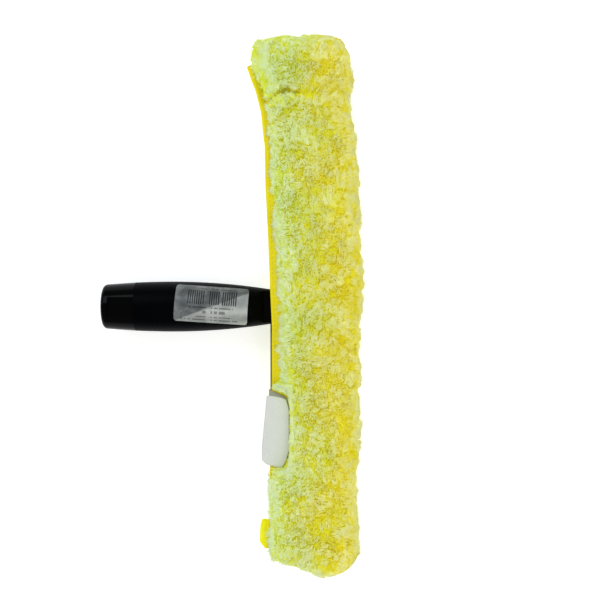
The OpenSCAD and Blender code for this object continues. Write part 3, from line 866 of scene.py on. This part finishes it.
# %% Press the crease
# The crease's line as photographed, in millimetres
CREASE_X = [20, 26.2, 35.6, 43, 61.5, 69]
CREASE_Y = [135.6, 138.2, 144.4, 142.4, 141.1, 142.4]
crease_line = np.interp(root_at[:, 0] / MM, CREASE_X, CREASE_Y) * MM
from_crease = (root_at[:, 1] - crease_line) / MM
pressed = np.exp(-((from_crease - 0.4) / 2.2) ** 2) * (root_at[:, 2] > axis_z)
pressed *= np.interp(root_at[:, 0] / MM, [38, 50, 80], [1, 0.4, 0.2])
fringe = np.clip(1 + from_crease / 9, 0, 1) * (from_crease < 0)
print(int((pressed > 0.5).sum()), "strands in the crease")

# %% Where each strand stands in its tuft
count = len(root_at)
away = np.clip(root_at - tuft_at[own], -3 * MM, 3 * MM)
spread = np.linalg.norm(away, axis=1, keepdims=True) / (tuft_gap[chosen][own][:, None] * 0.62)
spread = np.clip(spread, 0, 1.3)  # 0 in the tuft's middle, 1 at its rim
pull = random_pile.uniform(0.0, 0.42, (count, 1))
curl = random_pile.normal(0, 1, (count, 3)) * 1.0 * MM
curl -= (curl * root_out).sum(1, keepdims=True) * root_out
print("strands stand up to", round(float(spread.max()), 2), "of a tuft's half width off")

# %% How high each strand stands over the skin
TAB_TOP = -148 * MM
on_skin = reach_out[:, None] == 0
# A tuft is a small dome, and some tufts stand higher than others
height = (1.9 * tuft_rise[own][:, None] - 1.0) * MM - 0.8 * MM * spread**2
height += random_pile.normal(0, 0.45, (count, 1)) * MM
# Strands that face along the sleeve are shorter, and planted ones have their own reach
height += (0.9 - 2.5 * np.abs(root_out[:, 1:2])) * MM * on_skin
height += reach_out[:, None]
# They are pressed down in the crease, worn on the right, and short along the slit and tab
height -= 3.8 * MM * pressed[:, None]
height -= 0.6 * MM * rightness(root_at)[:, None]
sideways = np.clip(-root_out[:, :1] - 0.5, 0, 0.5) * 2 * (root_at[:, :1] < 30 * MM)
by_tab = np.clip(1.6 - np.abs(root_at[:, 1:2] - TAB_TOP) / (13 * MM), 0, 1)
height -= sideways * (0.8 + 1.1 * by_tab) * MM * on_skin
print("heights", [round(float(np.quantile(height, q)) * 1000, 1) for q in (0.01, 0.99)], "mm")

# %% Bend them into tufts
deep = np.where(reach_out > 0, 3 * MM, DEPTH + 0.9 * MM)
foot = root_at - root_out * deep[:, None]
tip = root_at + root_out * height - away * pull + tuft_lean[own] + curl
tip[:, 1] += 1.4 * MM * fringe
knee = foot + root_out * (DEPTH * 0.8) - away * 0.1 + curl * 0.6
print("longest strand", round(float(np.linalg.norm(tip - foot, axis=1).max()) * 1000, 1), "mm")


# %% Keep the strands off the floor, the slit and the mouth
cad_y = [v[1] for v in cad_box]


def kept_in(points):
    """Moves points out of the floor, the slit and the mouth."""
    points[:, 2] = np.maximum(points[:, 2], 0.5 * MM)
    points[:, 1] = np.clip(points[:, 1], cad_y[0], cad_y[1])
    end, top = ends_at(points[:, 0], points[:, 2])
    points[:, 1] += 0.75 * np.clip(end - points[:, 1], 0, None)
    points[:, 1] -= 0.75 * np.clip(points[:, 1] - top, 0, None)
    off = points[:, 2] - axis_z
    flared = np.clip((22.5 * MM - points[:, 0]) / 9 / MM, 0, 1)
    jaw = slit_half + binding + 0.4 * MM + flared * 8.3 * MM
    caught = (np.abs(off) < jaw) & (points[:, 0] < bar_low.x) & (points[:, 1] > slit_end_y)
    points[caught, 2] = axis_z + np.sign(off[caught]) * jaw[caught]
    return points


foot, knee, tip = kept_in(foot), kept_in(knee), kept_in(tip)
print("strands kept clear")

# %% Leave the label room to lift and the tab room to swing
# Each strand keeps its own small distance from the lifted label, so no hard edge shows
LIFTED = math.radians(80)  # the label's range
SWUNG = math.radians(50)  # the tab's range, each way
lift_room = random_pile.uniform(0.9 * MM, 2.0 * MM, count)
hinge = (label_high.x, label_low.z)


def cleared(points):
    """Moves points behind the plane of the lifted label, and out of the tab's way."""
    reach = np.hypot(hinge[0] - points[:, 0], points[:, 2] - hinge[1])
    seat = (hinge[0] - reach) / MM
    leaf_top = np.interp(seat, [22.6, 36.2, 38.2], [-54, -59.5, -67.5]) * MM
    leaf_foot = np.interp(seat, [21.6, 33.3, 36.2, 38.2], [-106, -110.2, -104.2, -97]) * MM
    beyond = ((points[:, 0] - hinge[0]) * math.sin(LIFTED)
        + (points[:, 2] - hinge[1]) * math.cos(LIFTED))
    swept = (beyond < lift_room) & (points[:, 2] > hinge[1] - MM) & (
        seat > label_low.x / MM - 1) & (points[:, 1] < leaf_top) & (points[:, 1] > leaf_foot)
    points[swept, 0] += (lift_room - beyond)[swept] * math.sin(LIFTED)
    points[swept, 2] += (lift_room - beyond)[swept] * math.cos(LIFTED)
    off = points[:, 2] - axis_z
    swing = np.clip(tab_low.x - points[:, 0], 0, 1) * math.tan(SWUNG) + 2.2 * MM
    at_loop = (points[:, 1] > tab_low.y - 0.6 * MM) & (points[:, 1] < tab_high.y + 0.6 * MM) & (
        points[:, 0] < tab_low.x) & (np.abs(off) < swing)
    points[at_loop, 2] = axis_z + np.sign(off[at_loop]) * swing[at_loop]
    return points


foot, knee, tip = cleared(foot), cleared(knee), cleared(tip)
print("room left for the label and the tab")


# %% Shape every strand
def strand_points(numbers):
    """The points of some strands: each copy of the rod bent along its own curve."""
    t = blade_height[None, :, None]
    a, b, c = foot[numbers, None], knee[numbers, None], tip[numbers, None]
    centre = a * (1 - t) ** 2 + 2 * b * t * (1 - t) + c * t**2
    course = c - a
    course = course / np.linalg.norm(course, axis=2, keepdims=True)
    helper = np.where(np.abs(course[..., :1]) < 0.8, [[[1.0, 0, 0]]], [[[0, 1.0, 0]]])
    side = np.cross(course, helper)
    side /= np.linalg.norm(side, axis=2, keepdims=True)
    up = np.cross(course, side)
    girth = (strand_radius[numbers][:, None] * blade_girth[None])[..., None]
    turn = blade_angle[None, :, None]
    return centre + girth * (side * np.cos(turn) + up * np.sin(turn))


strand_radius = random_pile.uniform(0.19, 0.3, count) * MM
# The tip's paleness: the left side is made paler, partly painted light of the cool lamp there
paleness_end = np.clip(0.24 + 0.96 * tuft_rise[own] - 0.2 * spread[:, 0] ** 2
    + 0.22 * (1 - rightness(root_at)) - 0.6 * pressed + random_pile.normal(0, 0.13, count)
    + 0.22 * (reach_out > 0.3 * MM), 0.03, 1)
# The warm tone rises to the right, partly painted light of the warm lamp on that side
warmth_and_painted_light = np.clip(rightness(root_at) + random_pile.normal(0, 0.13, count)
    + np.array([noise.noise(Vector(p) * 40) for p in root_at]) * 0.35, 0, 1)
# In the crease the warm number is pushed past 1, which turns the colour to olive: painted shade
warmth_and_painted_light += (1.4 - warmth_and_painted_light) * np.clip(2.2 * pressed - 0.6, 0, 1)
print("strands have a radius up to", round(float(strand_radius.max()) * 1000, 2), "mm")

# %% [markdown]
# ## Joining and colouring the strands
# The strands are joined to nine long pieces, so that no mesh grows too large. Their points
# are copied by array arithmetic, and two numbers go along as attributes. The baking map
# puts points of the same colour at the same place, because a strand is far smaller than a
# pixel of any map laid flat in the usual way.

# %% Join strands to a piece
BAKE_EDGE = 0.006
STRAND_PIECES = 9


def strand_piece(name, numbers, finish):
    """Joins some strands to one mesh with their two colour numbers and a baking map."""
    n, each = len(numbers), len(blade_height)
    mesh = bpy.data.meshes.new(name)
    corners = np.concatenate(blade_faces)
    starts = np.cumsum([0] + [len(f) for f in blade_faces[:-1]])
    loops = (corners[None] + each * np.arange(n)[:, None]).ravel()
    mesh.vertices.add(n * each)
    mesh.vertices.foreach_set("co", strand_points(numbers).astype(np.float32).ravel())
    mesh.loops.add(len(loops))
    mesh.loops.foreach_set("vertex_index", loops.astype(np.int32))
    mesh.polygons.add(n * len(starts))
    mesh.polygons.foreach_set("loop_start",
        (starts[None] + len(corners) * np.arange(n)[:, None]).ravel().astype(np.int32))
    mesh.update(calc_edges=True)
    mesh.polygons.foreach_set("use_smooth", [True] * len(mesh.polygons))
    pale = (blade_height[None] ** 0.8 * paleness_end[numbers][:, None]).astype(np.float32)
    warm = np.repeat(warmth_and_painted_light[numbers][:, None], each, 1).astype(np.float32)
    for layer, values in (("paleness", pale), ("warmth_and_painted_light", warm)):
        mesh.attributes.new(layer, "FLOAT", "POINT").data.foreach_set("value", values.ravel())
    edge = BAKE_EDGE * np.stack([np.cos(blade_angle), np.sin(blade_angle)], 1)
    flat = np.stack([0.01 + 0.96 * pale, 0.02 + 0.68 * warm], 2) + edge
    mesh.uv_layers.new(name="OFBake").data.foreach_set("uv",
        flat.reshape(-1, 2)[loops].astype(np.float32).ravel())
    mesh.materials.append(finish.material)
    piece = bpy.data.objects.new(name, mesh)
    bpy.context.scene.collection.objects.link(piece)
    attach(piece, "sleeve")
    return piece


print("strands go into", STRAND_PIECES, "pieces")

# %% Dye the strands, give them painted shade and glow, and build the pieces
STRAND = Finish("pile_fabric_strand", roughness=0.7, sheen_weight=0.15)
pale = STRAND.add("Attribute", {"attribute_name": "paleness"}, {}, "Fac")
warm = STRAND.add("Attribute", {"attribute_name": "warmth_and_painted_light"}, {}, "Fac")
tips = STRAND.mix(warm, paint(241, 255, 212), paint(255, 254, 172))
roots = STRAND.mix(warm, paint(236, 246, 20), paint(252, 242, 0))
dye_and_painted_light = STRAND.mix(pale.over(0.5, 0.42), roots, tips)
# Past 1.2 the colour turns to a darker olive: painted shade in the crease
dye_and_painted_light = STRAND.mix(warm.over(1.2, 0.2), dye_and_painted_light, paint(190, 194, 30))
STRAND.feed("Base Color", dye_and_painted_light)
# The strands glow faintly in their own colour: painted light, standing for light through the fibres
# and lifting the shade between them
STRAND.feed("Emission Color", dye_and_painted_light)
STRAND.feed("Emission Strength", 0.14)

order = np.argsort(root_at[:, 1])
for n, numbers in enumerate(np.array_split(order, STRAND_PIECES)):
    made = strand_piece(f"pile_strands_{n + 1}", numbers, STRAND)
    print(made.name, len(made.data.polygons), "faces")

# %% [markdown]
# ## Woven finishes
# The tapes, the backing cloth, the label and the thread are woven or twisted. Their meshes
# carry a flat map in metres, so a weave can be written as waves across and along the cloth
# at its true pitch, and it stays on the cloth wherever the cloth is bent.


# %% Weaves
def woven(name, light, dark, rib, slant=0.0, depth=0.12, rough=0.75, stain=0.3, **fixed):
    """Woven cloth: ribs at a pitch, crossed by finer threads, with uneven dye."""
    made = Finish(name, **fixed)
    across, along, _ = made.split(made.add("UVMap", {"uv_map": "weave"}))
    ribs = (along + across * slant).wave(rib)
    threads = (across - along * slant).wave(rib * 0.8)
    weave = ribs * 0.65 + threads * 0.35
    dye = made.speckle(made.place(), 7 * MM, 4, 0.6)
    tone = weave * (1 - stain) + dye * stain
    made.feed("Base Color", made.mix(tone.over(0.42, 0.42), dark, light))
    made.feed("Roughness", 1 - weave * (1 - rough))
    made.bump(weave, depth * MM)
    return made


# The tape glows faintly in its own yellow: painted light
TAPE = woven("binding_tape", paint(253, 238, 14), paint(226, 202, 4), 0.9 * MM,
    emission_color=paint(255, 236, 8), emission_strength=0.03)
# The far binding is the same yellow tape as the near one; its dark olive tones are painted shade,
# for the shadow behind the slit's edge
SHADED_FAR_TAPE = woven("binding_tape_far", paint(196, 180, 20), paint(112, 104, 18), 0.8 * MM, 0.7)
CLOTH = woven("backing_fabric", paint(228, 222, 60), paint(196, 182, 20), 0.7 * MM)
# The label glows faintly in its own white: painted light
LABEL = woven("label_fabric", paint(238, 241, 238), paint(190, 194, 190), 1.25 * MM, 1.0, 0.12,
    0.55, 0.15, sheen_weight=0.1, emission_color=paint(235, 238, 232), emission_strength=0.06)
# The grey leaf's tones are partly painted shade, for the shadow behind the white label
GREY = woven("label_grey", paint(172, 174, 156), paint(134, 136, 120), 0.8 * MM, 1.0, 0.07)
# The tab tape glows in its own yellow: painted light
TAB = woven("tab_tape", paint(255, 255, 16), paint(232, 214, 0), 1.1 * MM, 0.0, 0.2,
    stain=0.7, emission_color=paint(255, 250, 8), emission_strength=0.12)
THREAD = Finish("thread", base_color=paint(226, 212, 30), roughness=0.6)
twist = THREAD.speckle(THREAD.place(), 0.35 * MM, 2)
THREAD.bump(twist, 0.08 * MM)
THREAD.feed("Roughness", twist * 0.3 + 0.45)
print("six woven finishes")

# %% [markdown]
# ## The backing cloth and its hem
# Under the pile lies the sleeve's own cloth, a tube that fits the bar with half a
# millimetre of play, sewn shut at one end and hemmed at the mouth. It is a grid rolled
# round the bar's outline; the slit is left out of it, and Solidify gives it its wall.


# %% Cloth round the bar
def round_outline(grow):
    """A function that goes once round the bar's outline at an even pace, from the back."""
    loop = outline_loop(grow, 240)
    loop = loop[120:] + loop[:120] + [loop[120]]
    run = np.concatenate([[0], np.cumsum([math.dist(p, q) for p, q in zip(loop, loop[1:])])])
    xs, zs = np.array(loop).T

    def at(share):
        d = share * run[-1]
        return bar_mid + float(np.interp(d, run, xs)), axis_z + float(np.interp(d, run, zs))

    return at, float(run[-1])


def solid_wall(piece, wall, offset=0.0, levels=0):
    """Gives a sheet its thickness, and more faces where it is seen close."""
    thick = piece.modifiers.new("wall", "SOLIDIFY")
    thick.thickness = wall
    thick.offset = offset
    if levels:
        soft = piece.modifiers.new("soft", "SUBSURF")
        soft.levels = soft.render_levels = levels
    return piece


def without_slit(shape, room):
    """Deletes the faces of a rolled cloth that lie in the slit."""
    lost = [f for f in shape.faces if (c := f.calc_center_median()).x < bar_low.x + 6 * MM
        and abs(c.z - axis_z) < room and c.y > slit_end_y]
    bmesh.ops.delete(shape, geom=lost, context="FACES")


cloth_at, cloth_round = round_outline(1.0 * MM)


def cloth_point(u, v):
    """The cloth's middle; it closes over the sewn end."""
    x, z = cloth_at(u)
    y = cloth_low.y + 0.5 * MM + v * (mouth_y - cloth_low.y - 0.5 * MM)
    ripple = noise.noise(Vector((x * 60, y * 60, z * 60))) * 0.15 * MM
    return Vector((x, y, z + ripple))


cloth_shape = bent_grid(132, 160, cloth_point, (cloth_round, mouth_y - cloth_low.y))
without_slit(cloth_shape, slit_half + 0.6 * MM)
bmesh.ops.remove_doubles(cloth_shape, verts=cloth_shape.verts, dist=1e-6)
end_rim = [e for e in cloth_shape.edges if e.is_boundary
    and all(v.co.y < cloth_low.y + 0.6 * MM for v in e.verts)]
bmesh.ops.contextual_create(cloth_shape, geom=end_rim)
backing = finished("backing", cloth_shape, CLOTH, "sleeve")
solid_wall(backing, 1.0 * MM)
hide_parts("backing_cloth")
print("cloth is", round(cloth_round * 1000), "mm round")

# %% The hem at the mouth
hem_low, hem_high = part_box("mouth_hem")
hem_at, hem_round = round_outline(2.0 * MM)


def hem_point(u, v):
    """The hem's middle; v goes from its inner edge to the mouth."""
    x, z = hem_at(u)
    return Vector((x, hem_low.y + v * (hem_high.y - hem_low.y), z))


hem_shape = bent_grid(132, 8, hem_point, (hem_round, hem_high.y - hem_low.y))
without_slit(hem_shape, slit_half + binding)
hem = finished("hem_tape", hem_shape, TAPE, "sleeve")
solid_wall(hem, 0.9 * MM)
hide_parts("mouth_hem")
print("hem", round((hem_high.y - hem_low.y) * 1000, 1), "mm wide")

# %% [markdown]
# ## Bound edges of the slit
# The slit's two edges are bound with folded tape that stands out behind the pile. From
# above only the nearer one shows, as a narrow bright band that widens to a pointed flare
# at the mouth. Each is a grid between the cloth and a free edge; the free edge is read from
# the CAD node by rays, so the piece is as deep as the solid it replaces, to 0.2 mm.


# %% The free edge of a binding
def free_edge(name):
    """How far a binding reaches behind the bar, measured every few millimetres."""
    tree = solid_tree([name])
    a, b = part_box(name)
    heights = [a.z + (b.z - a.z) * k / 8 for k in range(9)]
    ys = np.linspace(a.y + 0.05 * MM, b.y - 0.05 * MM, 120)
    reach = []
    for y in ys:
        hits = [tree.ray_cast(Vector((-0.1, y, z)), Vector((1, 0, 0)))[0] for z in heights]
        reach.append(min(h.x for h in hits if h is not None))
    return ys, np.array(reach)


def bound_edge(name, node, side, finish):
    """A folded tape along one edge of the slit."""
    ys, reach = free_edge(node)
    rise = slit_edge(side, binding / 2)
    line_x = [p[0] for p in rise][::-1]
    line_z = [p[1] for p in rise][::-1]
    root_x = bar_low.x - 1.2 * MM

    def place(u, v):
        y = ys[0] + (ys[-1] - ys[0]) * v
        edge_x = float(np.interp(y, ys, reach)) + 0.2 * MM
        x = root_x + (edge_x - root_x) * u
        sway = noise.noise(Vector((y * 45, x * 30, side))) * 0.25 * MM * u
        return Vector((x, y, float(np.interp(x, line_x, line_z)) + side * sway))

    shape = bent_grid(14, 140, place, (26 * MM, ys[-1] - ys[0]))
    tape = finished(name, shape, finish, "sleeve")
    solid_wall(tape, 1.9 * MM)
    soft = tape.modifiers.new("edge", "BEVEL")
    soft.width = 0.6 * MM
    soft.segments = 3
    soft.limit_method = "ANGLE"
    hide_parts(node)
    return tape, place


near_tape, near_place = bound_edge("binding_tape_near", "binding_near", 1, TAPE)
# The far tape gets the finish with painted shade
far_tape, far_place = bound_edge("binding_tape_far", "binding_far", -1, SHADED_FAR_TAPE)
print("bindings made")


# %% Stitches
def stitches(name, place, count, body="sleeve", length=2.6 * MM, radius=0.28 * MM):
    """A row of stitches; place gives the middle and the direction of each."""
    shape = bmesh.new()
    for k in range(count):
        at, way = place((k + 0.5) / count)
        turn = way.to_track_quat("X", "Z").to_matrix().to_4x4()
        size = Matrix.Diagonal((length / 2, radius, radius, 1))
        bmesh.ops.create_uvsphere(shape, u_segments=6, v_segments=4, radius=1,
            matrix=Matrix.Translation(at) @ turn @ size)
    return finished(name, shape, THREAD, body, merge=1e-9)


def course(place, share, step):
    """The direction of a row of stitches at a share of its length."""
    return (place(min(share + step, 1)) - place(max(share - step, 0))).normalized()


def along_tape(place, across, lift):
    """Stitches along a bound edge, on its upper or its lower side."""
    def line(share):
        return place(across, share)

    return lambda share: (line(share) + Vector((0, 0, lift)), course(line, share, 0.003))


def along_hem(share):
    """Stitches round the hem, on its outside."""
    def line(share):
        return hem_point(share, 0.3)

    out = (line(share) - Vector((bar_mid, hem_low.y, axis_z))).normalized()
    return line(share) + out * 0.5 * MM, course(line, share, 0.01)


ROWS_OF_STITCHES = (("binding_stitches_near", along_tape(near_place, 0.82, 1.0 * MM), 80),
    ("binding_stitches_far", along_tape(far_place, 0.82, -1.0 * MM), 80),
    ("hem_stitches", along_hem, 34))
for name, place, amount in ROWS_OF_STITCHES:
    stitches(name, place, amount)
    print(name, amount, "stitches")

# %% [markdown]
# ## Small sewn parts
# The bar tack that ends the slit is a block of cloth wound over with thread. The tab patch
# is folded tape that carries the pull tab through the pile, and the seam allowance is the
# closed end's flange. Each is a stack of bevelled slabs in the space of its CAD solid. A
# slim roll of tape closes the patch towards the tab, on the line that the tab swings about.


# %% Folded tape blocks
def flat_map(shape, first, second):
    """Gives a shape a flat map in metres, from two of its axes, for a weave to follow."""
    layer = shape.loops.layers.uv.new("weave")
    for face in shape.faces:
        for corner in face.loops:
            corner[layer].uv = (corner.vert.co[first], corner.vert.co[second])


def folded_block(name, node, finish, plies):
    """A stack of plies in a node's box, each a soft-edged slab."""
    a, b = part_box(node)
    shape = bmesh.new()
    each = (b.z - a.z) / plies
    for k in range(plies):
        size = Matrix.Diagonal((b.x - a.x, b.y - a.y, each * 0.94, 1))
        middle = Vector(((a.x + b.x) / 2, (a.y + b.y) / 2, a.z + each * (k + 0.5)))
        slab = bmesh.ops.create_cube(shape, size=1, matrix=Matrix.Translation(middle) @ size)
        edges = list({e for v in slab["verts"] for e in v.link_edges})
        bmesh.ops.bevel(shape, geom=edges, offset=min(each * 0.3, 0.5 * MM), segments=2,
            affect="EDGES", profile=0.5, material=-1)
    flat_map(shape, 0, 1)
    piece = finished(name, shape, finish, "sleeve")
    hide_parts(node)
    return piece


folded_block("tab_stack", "tab_patch", TAPE, 3)
folded_block("seam_allowance", "end_seam", CLOTH, 2)
folded_block("tack_block", "slit_bartack", TAPE, 5)
print("tack, patch and seam made")

# %% The roll at the tab's root
ROLL_RADIUS = 0.62 * MM
roll_shape = bmesh.new()
roll_at = Vector((tab_low.x - 0.25 * MM, (tab_low.y + tab_high.y) / 2, axis_z))
bmesh.ops.create_cone(roll_shape, cap_ends=True, segments=20, radius1=ROLL_RADIUS,
    radius2=ROLL_RADIUS, depth=tab_high.y - tab_low.y,
    matrix=Matrix.Translation(roll_at) @ Matrix.Rotation(math.pi / 2, 4, "X"))
flat_map(roll_shape, 2, 1)
finished("tab_roll", roll_shape, TAB, "sleeve")
print("roll", round((tab_high.y - tab_low.y) * 1000, 1), "mm long")


# %% The bar tack's thread
def tack_wrap(share):
    """Upright stitches side by side across the tack."""
    x = tack_low.x + (tack_high.x - tack_low.x) * share
    return Vector((x, tack_high.y + 0.05 * MM, axis_z)), Vector((0, 0, 1))


TACK_TURNS = 22
stitches("tack_thread", tack_wrap, TACK_TURNS, length=2 * slit_half * 0.96, radius=0.3 * MM)
print("tack wound", TACK_TURNS, "times")

# %% [markdown]
# ## The care label
# A white woven label and a grey leaf behind it are sewn into the edge and lie flat in a
# parting of the pile; the leaf's dull grey is partly painted shade, for the shadow it lies in
# behind the white label. Both are sheets of satin ribbon with a fine slanting weave, a little
# curled at their free edges. They ride on the label's own body, so they lift together.


def leaf(name, node, finish, sides, curl, wall):
    """A leaf inside its node's box; each side is a line of insets in millimetres."""
    a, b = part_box(node)

    def inset(side, share):
        line = sides[side]
        return float(np.interp(share, np.linspace(0, 1, len(line)), line)) * MM

    def place(u, v):
        x = (b.x - inset("seam", v)) * (1 - u) + (a.x + inset("free", v)) * u
        y = (a.y + inset("low", u)) * (1 - v) + (b.y - inset("high", u)) * v
        lift = curl * MM * u**2 * (0.5 + 0.5 * math.cos((v - 0.35) * 5))
        wave = noise.noise(Vector((x * 90, y * 90, 3))) * 0.15 * MM
        return Vector((x, y, (a.z + b.z) / 2 + lift + wave))

    shape = bent_grid(16, 40, place, (b.x - a.x, b.y - a.y))
    print(name, round(sum(f.calc_area() for f in shape.faces) * 1e6), "square mm")
    piece = finished(name, shape, finish, "label")
    solid_wall(piece, wall)
    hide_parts(node)
    return piece


label = leaf("white_label", "care_label", LABEL, {
    "seam": [2.0, 0, 0, 0, 0, 0, 2.0], "free": [0.4, 0, 0.7, 1.4, 2.1, 2.7, 3.4],
    "low": [6.0, 1.0, 0.8, 1.6, 2.4, 3.3, 6.0], "high": [3.4, 2.2, 1.6, 1.2, 0.8, 0.5, 0.6]},
    0.8, 0.3 * MM)
under = leaf("grey_leaf", "label_underlay", GREY, {
    "seam": [2.0, 0, 0, 0, 0, 2.0], "free": [0, 0], "low": [2.0, 0.5], "high": [6.0, 0.5]},
    0.1, 0.3 * MM)

# %% [markdown]
# ## The pull tab
# A short loop of bright tape, folded double, sticks out near the sewn end to pull the
# sleeve off. The grid follows the fold: out along one ply, round the bend and back.

# %% The folded loop
PLY = 1.0 * MM
pull_low, pull_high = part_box("pull_tab")


def pull_point(u, v):
    """u goes out over the fold and back; v goes along the sleeve."""
    fold = (pull_high.z - pull_low.z) / 2 - 0.55 * MM
    out = pull_high.x - pull_low.x - fold - 1.05 * MM
    bend = math.pi * fold
    total = 2 * out + bend
    d = u * total
    # Worn corners: how far out the fold reaches, from 0.3 to 1, along the tab
    soft = 1 - 0.12 * max(0, v - 0.8) / 0.2 - 0.22 * v**3 - 0.8 * max(0, 0.22 - v) / 0.22
    soft = max(soft, 0.3)
    if d < out:
        x, z = -d, fold * min(1, 0.15 + d / out)
    elif d > out + bend:
        x, z = -(total - d), -fold * min(1, 0.15 + (total - d) / out)
    else:
        turn = (d - out) / fold
        x, z = -out - fold * math.sin(turn), fold * math.cos(turn)
    y = pull_low.y + (pull_high.y - pull_low.y) * v
    dent = noise.noise(Vector((x * 120, y * 120, z * 40))) * 0.25 * MM
    return Vector((pull_high.x - 0.5 * MM + x * soft, y, axis_z + z + dent))


pull_shape = bent_grid(30, 24, pull_point, (20 * MM, 20 * MM))
pull = finished("pull_loop", pull_shape, TAB, "tab")
solid_wall(pull, PLY, 0.0, 1)
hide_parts("pull_tab")
print("tab", [round(d * 1000, 1) for d in (pull_high - pull_low)], "mm")
